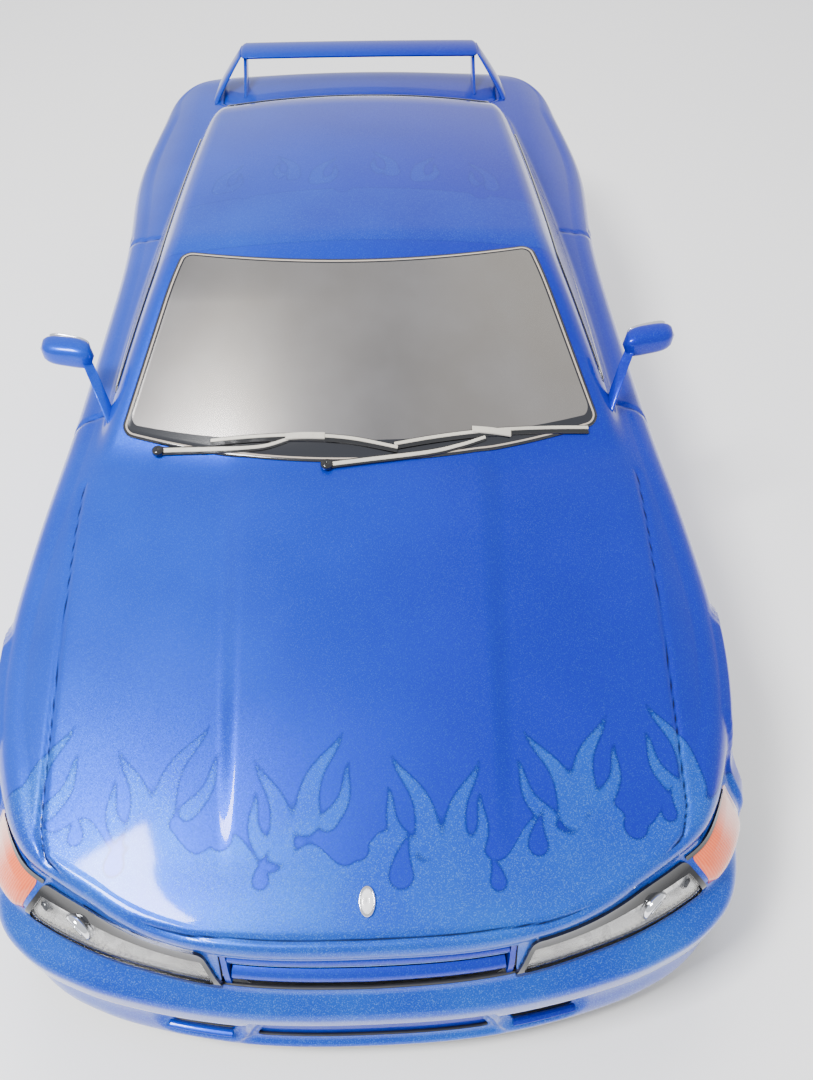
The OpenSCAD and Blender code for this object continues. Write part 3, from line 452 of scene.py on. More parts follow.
def bevel(ob, width, segments=2, angle=35):
    m = ob.modifiers.new("edge", "BEVEL")
    m.width = width * MM
    m.segments = segments
    m.limit_method = "ANGLE"
    m.angle_limit = math.radians(angle)


def poly_distance(p, line):
    """Distance in the plane from points p to an open line of points."""
    line = np.array(line, float)
    best = np.full(len(p), 1e9)
    for a, b in zip(line[:-1], line[1:]):
        d = b - a
        t = np.clip(((p - a) @ d) / max(d @ d, 1e-9), 0, 1)
        best = np.minimum(best, np.linalg.norm(p - (a + t[:, None] * d), axis=1))
    return best


# ------------------------------------------------------------------ materials
class Nodes:
    """Small wrapper for building a node material."""

    def __init__(self, name):
        self.mat = bpy.data.materials.new(name)
        self.mat.use_nodes = True
        self.tree = self.mat.node_tree
        self.bsdf = self.tree.nodes["Principled BSDF"]

    def new(self, kind, **props):
        n = self.tree.nodes.new(kind)
        for k, val in props.items():
            setattr(n, k, val)
        return n

    def link(self, a, b):
        self.tree.links.new(a, b)

    def value(self, sock, val):
        if hasattr(val, "is_output"):
            self.link(val, sock)
        else:
            sock.default_value = val

    def set(self, **inputs):
        for k, val in inputs.items():
            self.value(self.bsdf.inputs[k.replace("_", " ")], val)

    def attr(self, name):
        return self.new("ShaderNodeAttribute", attribute_name=name).outputs["Fac"]

    def coords(self, scale=1.0):
        tc = self.new("ShaderNodeTexCoord")
        mp = self.new("ShaderNodeMapping")
        self.link(tc.outputs["Object"], mp.inputs["Vector"])
        mp.inputs["Scale"].default_value = (scale,) * 3 if not hasattr(scale, "__len__") else scale
        return mp.outputs["Vector"]

    def noise(self, scale, detail=3.0, rough=0.5, vec=None):
        n = self.new("ShaderNodeTexNoise")
        n.inputs["Scale"].default_value = scale
        n.inputs["Detail"].default_value = detail
        n.inputs["Roughness"].default_value = rough
        self.link(vec if vec is not None else self.coords(), n.inputs["Vector"])
        return n.outputs["Fac"]

    def voronoi(self, scale, vec):
        n = self.new("ShaderNodeTexVoronoi", feature="F1")
        n.inputs["Scale"].default_value = scale
        self.link(vec, n.inputs["Vector"])
        return n.outputs

    def math(self, op, a, b=0.0):
        n = self.new("ShaderNodeMath", operation=op)
        self.value(n.inputs[0], a)
        self.value(n.inputs[1], b)
        return n.outputs[0]

    def vector(self, op, a, b=None):
        n = self.new("ShaderNodeVectorMath", operation=op)
        self.value(n.inputs[0], a)
        if b is not None:
            self.value(n.inputs[1], b)
        return n.outputs[0]

    def map(self, x, a, b, lo=0.0, hi=1.0, smooth=False):
        n = self.new("ShaderNodeMapRange", interpolation_type="SMOOTHSTEP" if smooth else "LINEAR")
        self.value(n.inputs["Value"], x)
        n.inputs["From Min"].default_value = a
        n.inputs["From Max"].default_value = b
        self.value(n.inputs["To Min"], lo)
        self.value(n.inputs["To Max"], hi)
        return n.outputs["Result"]

    def mix(self, t, a, b):
        n = self.new("ShaderNodeMix", data_type="RGBA")
        self.value(n.inputs[0], t)
        for sock, val in ((n.inputs[6], a), (n.inputs[7], b)):
            self.value(sock, (*val, 1) if isinstance(val, tuple) and len(val) == 3 else val)
        return n.outputs[2]

    def bump(self, height, strength, distance):
        n = self.new("ShaderNodeBump")
        n.inputs["Strength"].default_value = strength
        n.inputs["Distance"].default_value = distance * MM
        self.link(height, n.inputs["Height"])
        return n.outputs["Normal"]


def worn(name, color, rough=0.45, metallic=0.0, grain=900, grain_depth=0.06, vary=0.15, coat=0.0, spec=0.5,
         stretch=None):
    """General surface: colour and roughness that vary, and a fine grain in relief."""
    m = Nodes(name)
    vec = m.coords(stretch) if stretch else None
    large = m.noise(60, 3, 0.6)
    fine = m.noise(grain, 4, 0.6, vec)
    dark = tuple(c * (1 - vary) for c in color)
    light = tuple(min(c * (1 + vary) + 0.01 * vary, 1) for c in color)
    m.set(Base_Color=m.mix(m.map(large, 0.3, 0.7), dark, light), Metallic=metallic,
          Roughness=m.map(fine, 0.3, 0.7, max(rough - 0.08, 0.02), min(rough + 0.1, 1)),
          Normal=m.bump(fine, 0.5, grain_depth))
    m.set(Coat_Weight=coat, Coat_Roughness=0.06, Specular_IOR_Level=spec)
    return m.mat


BODY_BLUE = (0.001, 0.012, 0.42)
# painted highlight: the lighter cyan given to the paint on the side the key light comes from
PAINTED_SHEEN_CYAN = (0.001, 0.055, 0.56)
DEEP_BLUE = (0.001, 0.006, 0.26)
FLAME_TEAL = (0.0, 0.085, 0.52)
FLAKE_TILT = 0.07


def candy(name, flames=True):
    """Candy blue over metal flake under a clear layer. The flames are laid on as a second, greener coat."""
    m = Nodes(name)
    vec = m.coords()
    flake = m.voronoi(5200, vec)
    sparkle = m.new("ShaderNodeSeparateColor")
    m.link(flake["Color"], sparkle.inputs["Color"])
    cloud = m.noise(35, 2, 0.5, vec)
    across = m.new("ShaderNodeSeparateXYZ")
    m.link(vec, across.inputs["Vector"])
    # painted highlight: the paint is lighter cyan towards the left side, where the key light falls, and plain
    # blue towards the right
    base = m.mix(m.map(across.outputs["X"], -0.085, 0.06, 0, 1, True), PAINTED_SHEEN_CYAN, BODY_BLUE)
    base = m.mix(m.map(cloud, 0.3, 0.7, 0.25, 0), base, DEEP_BLUE)
    amount = m.map(sparkle.outputs["Red"], 0.7, 1.0, 0.0, 0.10)
    if flames:
        mask = m.math("MULTIPLY", m.map(m.attr("tongue"), -0.15, 0.15, 0, 1, True),
                      m.map(across.outputs["Z"], 0.098, 0.108, 1, 0.22))
        edge = m.math("MULTIPLY", m.map(m.math("ABSOLUTE", m.attr("tongue")), 0.0, 0.5, 1, 0),
                      m.map(across.outputs["Z"], 0.098, 0.108, 0.6, 0.2))
        teal = m.mix(m.map(cloud, 0.3, 0.7), (0.0, 0.038, 0.46), FLAME_TEAL)
        base = m.mix(mask, base, teal)
        base = m.mix(edge, base, (0.001, 0.006, 0.10))
        amount = m.math("MULTIPLY", amount, m.map(mask, 0, 1, 0.8, 2.6))
    base = m.mix(amount, base, (0.16, 0.5, 1.0))
    if flames:
        # painted shade: the middle of each panel-line groove is painted near-black
        base = m.mix(m.map(m.attr("seam"), 0.12, 0.5, 0.9, 0, True), base, (0.001, 0.002, 0.012))
    # each flake tilts the surface a little its own way
    tilt = m.vector("SUBTRACT", flake["Color"], (0.5, 0.5, 0.5))
    tilt = m.vector("MULTIPLY", tilt, (FLAKE_TILT,) * 3)
    tilt = m.vector("ADD", m.new("ShaderNodeNewGeometry").outputs["Normal"], tilt)
    orange_peel = m.bump(m.noise(160, 2, 0.4, vec), 0.04, 0.12)
    m.set(Base_Color=base, Metallic=0.45, Roughness=0.36, Normal=m.vector("NORMALIZE", tilt))
    m.link(orange_peel, m.bsdf.inputs["Coat Normal"])
    m.set(Specular_IOR_Level=0.08, Coat_Weight=1.0, Coat_Roughness=0.05, Coat_IOR=1.33)
    return m.mat


def carbon_fibre(name):
    """Twill weave: two directions of tow, offset row by row."""
    m = Nodes(name)
    a = m.new("ShaderNodeTexWave", wave_type="BANDS", bands_direction="DIAGONAL")
    a.inputs["Scale"].default_value = 140
    a.inputs["Distortion"].default_value = 0
    m.link(m.coords((1, 1, 0.2)), a.inputs["Vector"])
    b = m.new("ShaderNodeTexChecker")
    b.inputs["Scale"].default_value = 500
    m.link(m.coords((1, 1, 0.01)), b.inputs["Vector"])
    tow = m.mix(b.outputs["Fac"], (0.012, 0.012, 0.014), (0.05, 0.05, 0.055))
    col = m.mix(m.map(a.outputs["Fac"], 0.3, 0.7, 0, 0.5), tow, (0.02, 0.02, 0.022))
    m.set(Base_Color=col, Roughness=m.map(m.noise(700), 0.3, 0.7, 0.25, 0.42),
          Normal=m.bump(b.outputs["Fac"], 0.25, 0.08))
    m.set(Coat_Weight=0.6, Coat_Roughness=0.12)
    return m.mat


PAINT = candy("candy_blue")
PAINT_PLAIN = candy("candy_blue_plain", flames=False)
INSIDE = worn("shell_inside", (0.02, 0.02, 0.024), 0.55, grain=500, vary=0.3)
BLACK_GLOSS = worn("black_gloss", (0.006, 0.006, 0.007), 0.12, grain=300, grain_depth=0.02, coat=0.5)
NYLON = worn("black_nylon_mat", (0.018, 0.018, 0.02), 0.5, grain=1400, grain_depth=0.12, vary=0.35)
STEEL = worn("zinc_steel_mat", (0.5, 0.51, 0.54), 0.3, 1.0, grain=1200, grain_depth=0.05, vary=0.12)
ALLOY = worn("satin_aluminium_mat", (0.66, 0.68, 0.72), 0.34, 1.0, grain=1500, grain_depth=0.04, vary=0.08)
CHROME = worn("chrome_mat", (0.86, 0.87, 0.9), 0.07, 1.0, grain=300, grain_depth=0.02, vary=0.04)
CARBON = carbon_fibre("carbon_mat")

# ------------------------------------------------------------------ camera and light
cam_data = bpy.data.cameras.new("camera")
cam = bpy.data.objects.new("camera", cam_data)
bpy.context.scene.collection.objects.link(cam)
cam.location = (0.0065, -0.2755, 0.2734)
cam.rotation_euler = (math.radians(90 - 48.27), 0, math.radians(-2.05))
cam_data.sensor_fit = "VERTICAL"
cam_data.sensor_height = 36
cam_data.lens = 29.51
cam_data.clip_start = 0.01
bpy.context.scene.camera = cam


def area_light(name, place, aim, size, power, color=(1, 1, 1), seen=True):
    d = bpy.data.lights.new(name, "AREA")
    d.energy = power
    d.color = color
    d.size = size
    ob = bpy.data.objects.new(name, d)
    bpy.context.scene.collection.objects.link(ob)
    ob.location = place
    ob.rotation_euler = (Vector(aim) - Vector(place)).to_track_quat("-Z", "Y").to_euler()
    ob.visible_glossy = seen


area_light("key", (-0.40, -0.33, 0.80), (-0.05, -0.19, 0.066), 0.21, 13)
area_light("overhead", (0.0, 0.75, 1.2), (0, 0, 0.05), 0.9, 13, (1.0, 0.98, 0.96), seen=False)
area_light("fill", (1.2, -0.5, 0.8), (0, 0, 0.05), 1.0, 3, (1.0, 0.97, 0.93), seen=False)
world = bpy.data.worlds.new("world")
world.use_nodes = True
world.node_tree.nodes["Background"].inputs["Color"].default_value = (0.93, 0.95, 1.0, 1)
world.node_tree.nodes["Background"].inputs["Strength"].default_value = 0.95
bpy.context.scene.world = world

floor_mat = Nodes("floor_paper")
floor_mat.set(Base_Color=floor_mat.mix(floor_mat.noise(4), (0.91, 0.905, 0.90), (0.94, 0.935, 0.93)),
              Roughness=0.6)
floor = make_mesh("floor", [(-3000, -3000, -0.2), (3000, -3000, -0.2), (3000, 3000, -0.2),
                            (-3000, 3000, -0.2)], [(0, 1, 2, 3)], [floor_mat.mat], smooth=False)

# ------------------------------------------------------------------ flames
FRONT_TIPS = [(-77, -156, 14), (-60, -163, -10), (-42, -158, 16), (-25, -168, -9), (-8, -162, 13),
              (9, -168, -12),
              (26, -170, 9), (43, -162, -15), (60, -158, 12), (76, -155, -13)]


def lick(p, root, tip, width, sway):
    """Signed distance, positive inside, to a tapering tongue with an S-shaped middle line."""
    root, tip = np.array(root, float), np.array(tip, float)
    along = tip - root
    n = np.array([-along[1], along[0]]) / np.linalg.norm(along)
    best = np.full(len(p), -1e9)
    for k in range(15):
        f = k / 14
        c = root + along * f + n * sway * math.sin(math.pi * 1.5 * f) * (0.35 + 0.65 * f)
        r = width * (1 - f) ** 0.8 + 0.12
        best = smax(best, r - np.hypot(p[:, 0] - c[0], p[:, 1] - c[1]), 0.8)
    return best


def drop(p, at, size, turn):
    """Signed distance to a teardrop that points away from the nose."""
    best = np.full(len(p), -1e9)
    for k in range(9):
        f = k / 8
        c = (at[0] + turn * size * 1.5 * f * f, at[1] + size * 3.4 * f)
        best = smax(best, size * (1 - f) ** 1.1 + 0.05 - np.hypot(p[:, 0] - c[0], p[:, 1] - c[1]), 0.5)
    return best


def flames(x, y, edge, tips, length, width):
    """Flame field in plan: a forward part that reaches back to edge(x), with licks and drops along it."""
    p = np.stack([x, y], 1)
    field = edge(x) - y
    near = np.abs(field) < 60
    q, f = p[near], field[near]
    for k, (tx, ty, lean) in enumerate(tips):
        root = (tx - lean * 0.5, ty - length)
        f = smax(f, lick(q, root, (tx, ty), width, 2.4 if lean > 0 else -2.4), 2.5)
        small = (tx + lean * 0.42, ty - length * 0.42)
        f = smax(f, lick(q, (tx - lean * 0.1, ty - length * 1.02), small, width * 0.62,
                         -1.8 if lean > 0 else 1.8), 1.6)
        f = smin(f, -drop(q, (tx + lean * 0.28 + 2.5, ty - length * 1.32), 1.9 + 0.5 * (k % 3),
                          -0.6 if lean > 0 else 0.6), 0.8)
    field[near] = f
    return field


def bonnet_edge(x):
    return -190.5 + 15 * (np.abs(x) / 88) ** 2 + 3.2 * np.sin(x / 2.9) + 1.5 * np.sin(x / 7.3 + 1)


def flame_value(v, kind):
    """Flame field in mm at surface points: kind 0 is the top, 1 the side."""
    x, y, z = v[:, 0], v[:, 1], v[:, 2]
    front = flames(x, y, bonnet_edge, FRONT_TIPS, 21, 3.1)
    roof_tips = [(-44, 44, 9), (-27, 50, -8), (-10, 46, 9), (8, 51, -9), (26, 47, 9), (43, 43, -9)]
    roof = flames(x, y, lambda a: 22 - 4 * (np.abs(a) / 50) ** 2, roof_tips, 18, 2.6)
    roof = smin(roof, y + 10, 1)
    f = np.where((z > ROOF_HEIGHT) & (y > -30), roof, front)
    return np.where(kind > 0.5, smin(f, -150 - y, 4), f)


# ------------------------------------------------------------------ body shell
ARCHES = [(FRONT_AXLE - 1, AXLE_Z - 2), (REAR_AXLE, AXLE_Z - 2)]
BONNET_LINE = [(0, -208.8), (22, -208.3), (42, -206.5), (58, -202.5), (70, -196), (77.5, -188), (79.8, -181),
               (81.5, -154), (83, -131), (84.6, -100), (85, -80)]
BOOT_LINE = [(0, 169), (40, 169), (61, 170.5), (67, 176), (68.5, 200), (68, 216)]
TAIL_LINE = [(0, 61), (58, 61), (67, 65), (68, 92)]
DOOR_LINE = [(-49, 94), (-56, 70), (-60, 45), (-57, 24), (-50, 18.5), (52, 18.5), (60, 24), (68, 44),
             (70, 60), (65, 80), (59, 94)]
WING_LINE = [(-166, 60), (-186, 58.5)]
REAR_BUMPER_LINE = [(150, 62), (168, 64), (200, 64)]
LAMP_IN, LAMP_OUT = 0.375, 1.09
ROOF_HEIGHT = 108          # above this the flames are the roof's own
PROJECTOR, SIDE_BULB = (0.87, 50.8), (1.03, 51.3)
SHELL_THICKNESS = 1.0


def lamp_low(s):
    return 45.2 + 0 * s


def lamp_high(s):
    return 56.4 + 0.6 * s


def lamp_field(s, z, grow=0.0):
    """Signed distance in mm, positive inside the headlamp's outline on the skirt."""
    f = (z - lamp_low(s)) / 11.5
    inner = (s - mix(LAMP_IN, LAMP_IN + 0.055, f)) * 92
    outer = (mix(LAMP_OUT, LAMP_OUT - 0.03, f) - s) * 70
    return smin(smin(inner, outer, 2), smin(z - lamp_low(s), lamp_high(s) - z, 1), 2) + grow


def slot_box(x, z, cx, cz, hw, hh, r):
    qx, qz = np.abs(x - cx) - (hw - r), np.abs(z - cz) - (hh - r)
    return r - np.hypot(np.maximum(qx, 0), np.maximum(qz, 0)) - np.minimum(np.maximum(qx, qz), 0)


def centre_intake(x, z):
    """The trapezoid in the middle of the lower bumper: wider at the bottom."""
    hw = 31 - (z - 14.5) * 0.55
    return smin(hw - np.abs(x), 4.5 - np.abs(z - 19), 2)


def side_intake(x, z):
    return slot_box(np.abs(x), z, 44.5, 20, 8.5, 3.5, 2)


def make_shell():
    s = np.concatenate([np.linspace(0, 1, 90)[:-1], np.linspace(1, 2, 140)[:-1], np.linspace(2, 3, 240)[:-1],
                        np.linspace(3, 4, 66)[:-1], np.linspace(4, 5, 70)])
    col = s[:, None]
    low, high = low_edge(superellipse(s)[:, 1]), shoulder_z(s)
    z = low[:, None] + (high - low)[:, None] * np.linspace(0, 1, 84)
    arc = np.linspace(0, 90, 11)[1:-1]
    f = 1 - np.linspace(0, 1, 112)
    grid = np.concatenate([skirt_pt(col, z), fillet_pt(col, arc), top_pt(col, f)], 1)
    rows, cols = grid.shape[:2]
    v = grid.reshape(-1, 3)
    kind = np.tile((np.arange(cols) < 88).astype(float), (rows, 1)).ravel()
    place = np.repeat(s, cols)
    t = grid_tris(rows, cols)
    if vertex_normals(v, t)[(len(v) // cols // 2) * cols + cols - 2, 2] < 0:
        t = t[:, ::-1]
    n = vertex_normals(v, t)
    n[np.abs(v[:, 0]) < 1e-6, 0] = 0
    n = unit(n)
    x, y, zz = v.T
    plan, side, back = v[:, :2], v[:, 1:], v[:, [0, 2]]
    is_side = kind > 0.5
    on_top = ~is_side & (zz < ROOF_HEIGHT)
    seam = np.full(len(v), 50.0)
    for where, plane, line in (
            (on_top & (y < -70), plan, BONNET_LINE), (on_top & (y > 120), plan, BOOT_LINE),
            (on_top & (x > 81), plan, [(78, -48), (97, -52)]), (on_top & (x > 81), plan, [(78, 56), (97, 60)]),
            (is_side & (np.abs(y) < 100), side, DOOR_LINE), (is_side & (y < -100), side, WING_LINE),
            (is_side & (y > 140) & (place < 3.9), side, REAR_BUMPER_LINE),
            (is_side & (y > 200), back, TAIL_LINE)):
        seam = np.minimum(seam, np.where(where, poly_distance(plane, line), 50.0))
    move = -0.75 * bell(seam / 0.75)
    for cy, cz in ARCHES:
        d = np.hypot(y - cy, zz - cz) - ARCH_R
        move += np.where(is_side, 1.3 * ramp(5.0, 3.4, d), 0)
    zc = 61 + 0.02 * y
    swage = 0.9 * np.where(zz > zc, bell((zz - zc) / 6), bell((zz - zc) / 1.7))
    swage = swage * ramp(-96, -60, y) * (1 - ramp(60, 100, y))
    move += np.where(is_side, swage, 0)
    # lower bumper: a recess round the intakes, and a step under the centre of the upper bar
    nose = is_side & (place < 1.2)
    recess = ramp(-1.5, 1.5, np.maximum(centre_intake(x, zz) + 2.2, side_intake(x, zz) + 2.6))
    move -= np.where(nose, 1.6 * recess, 0)
    step = (1 - ramp(29, 31.5, x)) * ramp(28.5, 30, zz) * (1 - ramp(33.5, 34.5, zz))
    move -= np.where(nose, 2.0 * step, 0)
    v = v + n * move[:, None]
    keep = np.minimum.reduce([np.hypot(y - cy, zz - cz) - ARCH_R for cy, cz in ARCHES])
    nose_cut = np.maximum.reduce([lamp_field(place, zz, 0.2), slot_box(x, zz, 0, 51, 35, 5.7, 0.8),
                                  centre_intake(x, zz), side_intake(x, zz)])
    keep = np.minimum(keep, np.where(nose, -nose_cut, 5))
    # other half, sharing the points on the middle plane
    shared = np.abs(v[:, 0]) < 1e-6
    new = np.where(shared, np.arange(len(v)), len(v) + np.cumsum(~shared) - 1)
    left = v[~shared] * (-1, 1, 1)
    v2 = np.concatenate([v, left])
    t2 = np.concatenate([t, new[t][:, ::-1]])
    kind, seam, keep = (np.concatenate([a, a[~shared]]) for a in (kind, seam, keep))
    area = np.linalg.norm(np.cross(v2[t2[:, 1]] - v2[t2[:, 0]], v2[t2[:, 2]] - v2[t2[:, 0]]), axis=1)
    t2 = t2[area > 1e-9]
    v3, t3, a3 = clip(v2, t2, keep, {"tongue": flame_value(v2, kind), "seam": seam})
    full, tris, mat, attrs = thicken(v3, t3, SHELL_THICKNESS, a3)
    piece("body_shell_painted", full, tris, [PAINT, INSIDE], "shell", "candy_blue_paint", ["body_shell"],
          mat_index=mat, attrs=attrs)


make_shell()


# ------------------------------------------------------------------ windows and wipers
def outward(v, t, centre):
    """The triangles, turned if needed so that they face away from centre."""
    n = np.cross(v[t[:, 1]] - v[t[:, 0]], v[t[:, 2]] - v[t[:, 0]])
    c = v[t].mean(1) - np.array(centre, float)
    return t if (n * c).sum() > 0 else t[:, ::-1]


def window_material():
    """Silver film with a dark, pale and dark line round it and a broad dark band below."""
    m = Nodes("window_film_mat")
    rim, band = m.attr("rim"), m.attr("band")
    vec = m.coords()
    # painted reflection: broad beige streaks over the film's grey stand for the surroundings mirrored in it
    wide = m.noise(9, 2, 0.4, m.coords((1, 0.35, 1)))
    film = m.mix(m.map(wide, 0.35, 0.65, 0, 1, True), (0.17, 0.165, 0.17), (0.36, 0.33, 0.29))
    film = m.mix(m.map(m.noise(45, 3, 0.5, vec), 0.35, 0.75, 0, 0.25), film, (0.42, 0.41, 0.42))
    dark = (0.008, 0.009, 0.013)
    inner = m.math("MINIMUM", m.map(rim, 2.05, 2.15), m.map(band, -0.05, 0.05))
    line = m.math("MULTIPLY", m.map(rim, 0.95, 1.05), m.map(rim, 1.5, 1.6, 1, 0))
    col = m.mix(inner, dark, film)
    col = m.mix(line, col, (0.42, 0.36, 0.30))
    m.set(Base_Color=col, Metallic=m.math("MULTIPLY", inner, 0.82),
          Roughness=m.mix(inner, (0.16, 0.16, 0.16), (0.26, 0.26, 0.26)),
          Normal=m.bump(m.noise(60, 2, 0.4, vec), 0.03, 0.2))
    m.set(Coat_Weight=0.6, Coat_Roughness=0.05)
    return m.mat


WINDOW = window_material()


def window(name, place, half_width, height, band, radius=4.0, nu=200, nv=90, mirror_too=False, replace=()):
    """Film on the cabin. place(u, v) gives plan points; half_width(v) and height are its size in mm."""
    u, v = np.meshgrid(np.linspace(-1, 1, nu), np.linspace(0, 1, nv), indexing="ij")
    u, v = u.ravel(), v.ravel()
    x, y = place(u, v)
    across, up = u * half_width(v), v * height
    qx = np.abs(across) - (half_width(v) - radius)
    qy = np.abs(up - height / 2) - (height / 2 - radius)
    sd = radius - np.hypot(np.maximum(qx, 0), np.maximum(qy, 0)) - np.minimum(np.maximum(qx, qy), 0)
    inner = smin(sd - 2.1, up - band(across), 5)
    lift = 0.15 + 0.35 * ramp(0, 0.8, sd) - 0.15 * ramp(1.4, 2.2, sd)
    p = np.stack([x, y, top(x, y)], 1)
    t = outward(p, grid_tris(nu, nv), (0, 30, 0))
    p = p + vertex_normals(p, t) * lift[:, None]
    p, t, a = clip(p, t, sd - 0.01, {"rim": sd, "band": inner})
    full, tris, _, attrs = thicken(p, t, 0.4, a)
    piece(name, full, tris, [WINDOW], "shell", "window_film", replace, attrs=attrs)
    if mirror_too:
        full, tris = mirrored(full, tris)
        piece(name + "_other_side", full, tris, [WINDOW], "shell", "window_film", attrs=attrs)


def screen_place(u, v):
    x = u * mix(75.5, 57.2, v)
    return -x, mix(-80, -18.2, v) + bow_front(x)


def rear_place(u, v):
    x = u * mix(54.5, 64.5, v)
    return -x, mix(116.5, 156.5, v) - bow_rear(x)


def side_place(u, v):
    y = mix(-50 + 44 * v, 112 - 22 * v, (u + 1) / 2)
    return mix(belt_x(y) - 2.2, belt_x(y) - 14.4, v), y


window("windscreen_film", screen_place, lambda v: mix(76.5, 58, v), 70,
       lambda a: 7.5 - 4.0 * (np.abs(a) / 76) ** 1.5, 4.5, 260, 120, replace=["windows"])
window("rear_window_film", rear_place, lambda v: mix(55, 65, v), 45, lambda a: 0 * a + 2.1, 4.5)
window("door_window_film", side_place, lambda v: 81 - 33 * v, 24.6,
       lambda a: np.where(np.abs(a - 26) < 2.6, 60, 2.1), 3.5, 240, 60, mirror_too=True)


def ribbon(path, width, e0, e1, m=8):
    """Flat strip on the top surface along plan points; width is a number or a function of the place 0 to 1."""
    p = smooth_run([(a, b, 0) for a, b in path], m)[:, :2]
    f = np.linspace(0, 1, len(p))
    w = width(f) if callable(width) else np.full(len(p), width)
    d = unit(np.gradient(p, axis=0))
    nrm = np.stack([-d[:, 1], d[:, 0]], 1)
    a, b = p + nrm * w[:, None] / 2, p - nrm * w[:, None] / 2
    v = []
    for k in range(len(p)):
        for q, e in ((a[k], e0), (b[k], e0), (b[k], e1), (a[k], e1)):
            v.append((q[0], q[1], float(top(q[0], q[1])) + e))
    n = len(p)
    f = [(4 * k + i, 4 * k + (i + 1) % 4, 4 * (k + 1) + (i + 1) % 4, 4 * (k + 1) + i)
         for k in range(n - 1) for i in range(4)]
    f += [(3, 2, 1, 0), (4 * n - 4, 4 * n - 3, 4 * n - 2, 4 * n - 1)]
    return np.array(v), f


CREAM = worn("wiper_cream", (0.52, 0.49, 0.42), 0.3, grain=600, vary=0.1)
arms = [[(-62, -71.6), (-45, -73.4), (-31, -74.2), (-22, -72.6)],
        [(-10, -81.2), (18, -78), (30, -75.2), (38, -72.4)]]
blades = [[(-46, -71.3), (-31, -71.6), (-17, -72.3), (-3, -73.8), (11, -76.6)],
          [(10, -75.6), (24, -73.2), (40, -70.8), (56, -68.8), (71, -67)]]
dark, pale = [], []
for line in arms:
    dark.append(ribbon(line, lambda f: 2.3 - 0.7 * f, 0.3, 0.95))
    pale.append(ribbon(line, lambda f: 1.3 - 0.5 * f, 0.9, 1.15))
for line in blades:
    dark.append(ribbon(line, 2.2, 0.3, 1.05))
    pale.append(ribbon([(a, b + 0.35) for a, b in line], 0.9, 1.0, 1.25))
    x, y = line[len(line) // 2]
    pale.append(ribbon([(x - 6, y + 0.2), (x, y + 0.1), (x + 6, y - 0.3)], 1.7, 1.0, 1.5, 3))
for nm, parts, mat in (("wiper_rubber", dark, BLACK_GLOSS), ("wiper_arms", pale, CREAM)):
    v, f = join(parts)
    bevel(piece(nm, v, f, [mat], "shell", "window_film", smooth=False), 0.12, 2)
for k, at in enumerate([(-62.5, -71.6), (-10.5, -81.2)]):
    v, f = lathe([(0.01, 0), (1.9, 0), (1.9, 1.0), (1.5, 1.5), (0.01, 1.6)], 32, "z",
                 (at[0], at[1], float(top(*at)) + 0.4))
    piece(f"wiper_pivot_{k + 1}", v, f, [BLACK_GLOSS], "shell", "window_film")


# ------------------------------------------------------------------ lamps
def clear_lens(name, tint=(1, 1, 1), spec_rough=0.03):
    """Clear cover: see-through, with a reflection that grows at a glancing angle."""
    m = Nodes(name)
    tree = m.tree
    clear = m.new("ShaderNodeBsdfTransparent")
    clear.inputs["Color"].default_value = (*tint, 1)
    gloss = m.new("ShaderNodeBsdfGlossy")
    m.value(gloss.inputs["Roughness"], m.map(m.noise(90), 0.3, 0.7, spec_rough, spec_rough + 0.04))
    fres = m.new("ShaderNodeFresnel")
    fres.inputs["IOR"].default_value = 1.45
    blend = m.new("ShaderNodeMixShader")
    m.link(m.math("MULTIPLY", fres.outputs[0], 0.8), blend.inputs[0])
    m.link(clear.outputs[0], blend.inputs[1])
    m.link(gloss.outputs[0], blend.inputs[2])
    m.link(blend.outputs[0], tree.nodes["Material Output"].inputs["Surface"])
    return m.mat


def reflector_material():
    m = Nodes("reflector_mat")
    place = m.attr("place")
    cells = m.voronoi(420, m.coords((1, 1, 0.55)))
    split = m.new("ShaderNodeSeparateColor")
    m.link(cells["Color"], split.inputs["Color"])
    # painted reflection: each chrome facet gets its own brightness, from grey to near-white
    chrome = m.mix(split.outputs["Red"], (0.45, 0.44, 0.43), (0.97, 0.96, 0.95))
    smoke = m.mix(m.map(m.noise(300), 0.4, 0.6), (0.30, 0.29, 0.27), (0.62, 0.60, 0.56))
    col = m.mix(m.map(place, 0.50, 0.56, 0, 1, True), smoke, chrome)
    col = m.mix(m.map(m.attr("height"), 47.3, 48.1, 1, 0, True), col, (0.85, 0.82, 0.70))
    m.set(Base_Color=col, Metallic=0.35, Roughness=m.map(split.outputs["Green"], 0, 1, 0.08, 0.3),
          Normal=m.bump(split.outputs["Blue"], 0.35, 0.3))
    # painted light: the reflector glows in its own colour although the lamp is not lit
    m.set(Emission_Strength=0.9, Emission_Color=col)
    return m.mat


def indicator_material():
    m = Nodes("indicator_mat")
    place, height = m.attr("place"), m.attr("height")
    wave = m.math("SINE", m.math("MULTIPLY", place, 640.0))
    orange = m.mix(m.map(wave, -1, 1), (0.80, 0.10, 0.02), (0.92, 0.17, 0.05))
    col = m.mix(m.map(place, 1.22, 1.36, 0, 0.75, True), orange, (0.93, 0.72, 0.66))
    col = m.mix(m.map(height, 46.8, 47.6, 1, 0, True), col, (0.62, 0.03, 0.03))
    m.set(Base_Color=col, Roughness=m.map(m.noise(200), 0.3, 0.7, 0.12, 0.2), Normal=m.bump(wave, 0.3, 0.12))
    # painted light: a faint glow in the indicator's own colour although it is not lit
    m.set(Coat_Weight=0.8, Emission_Strength=0.06, Emission_Color=col)
    return m.mat


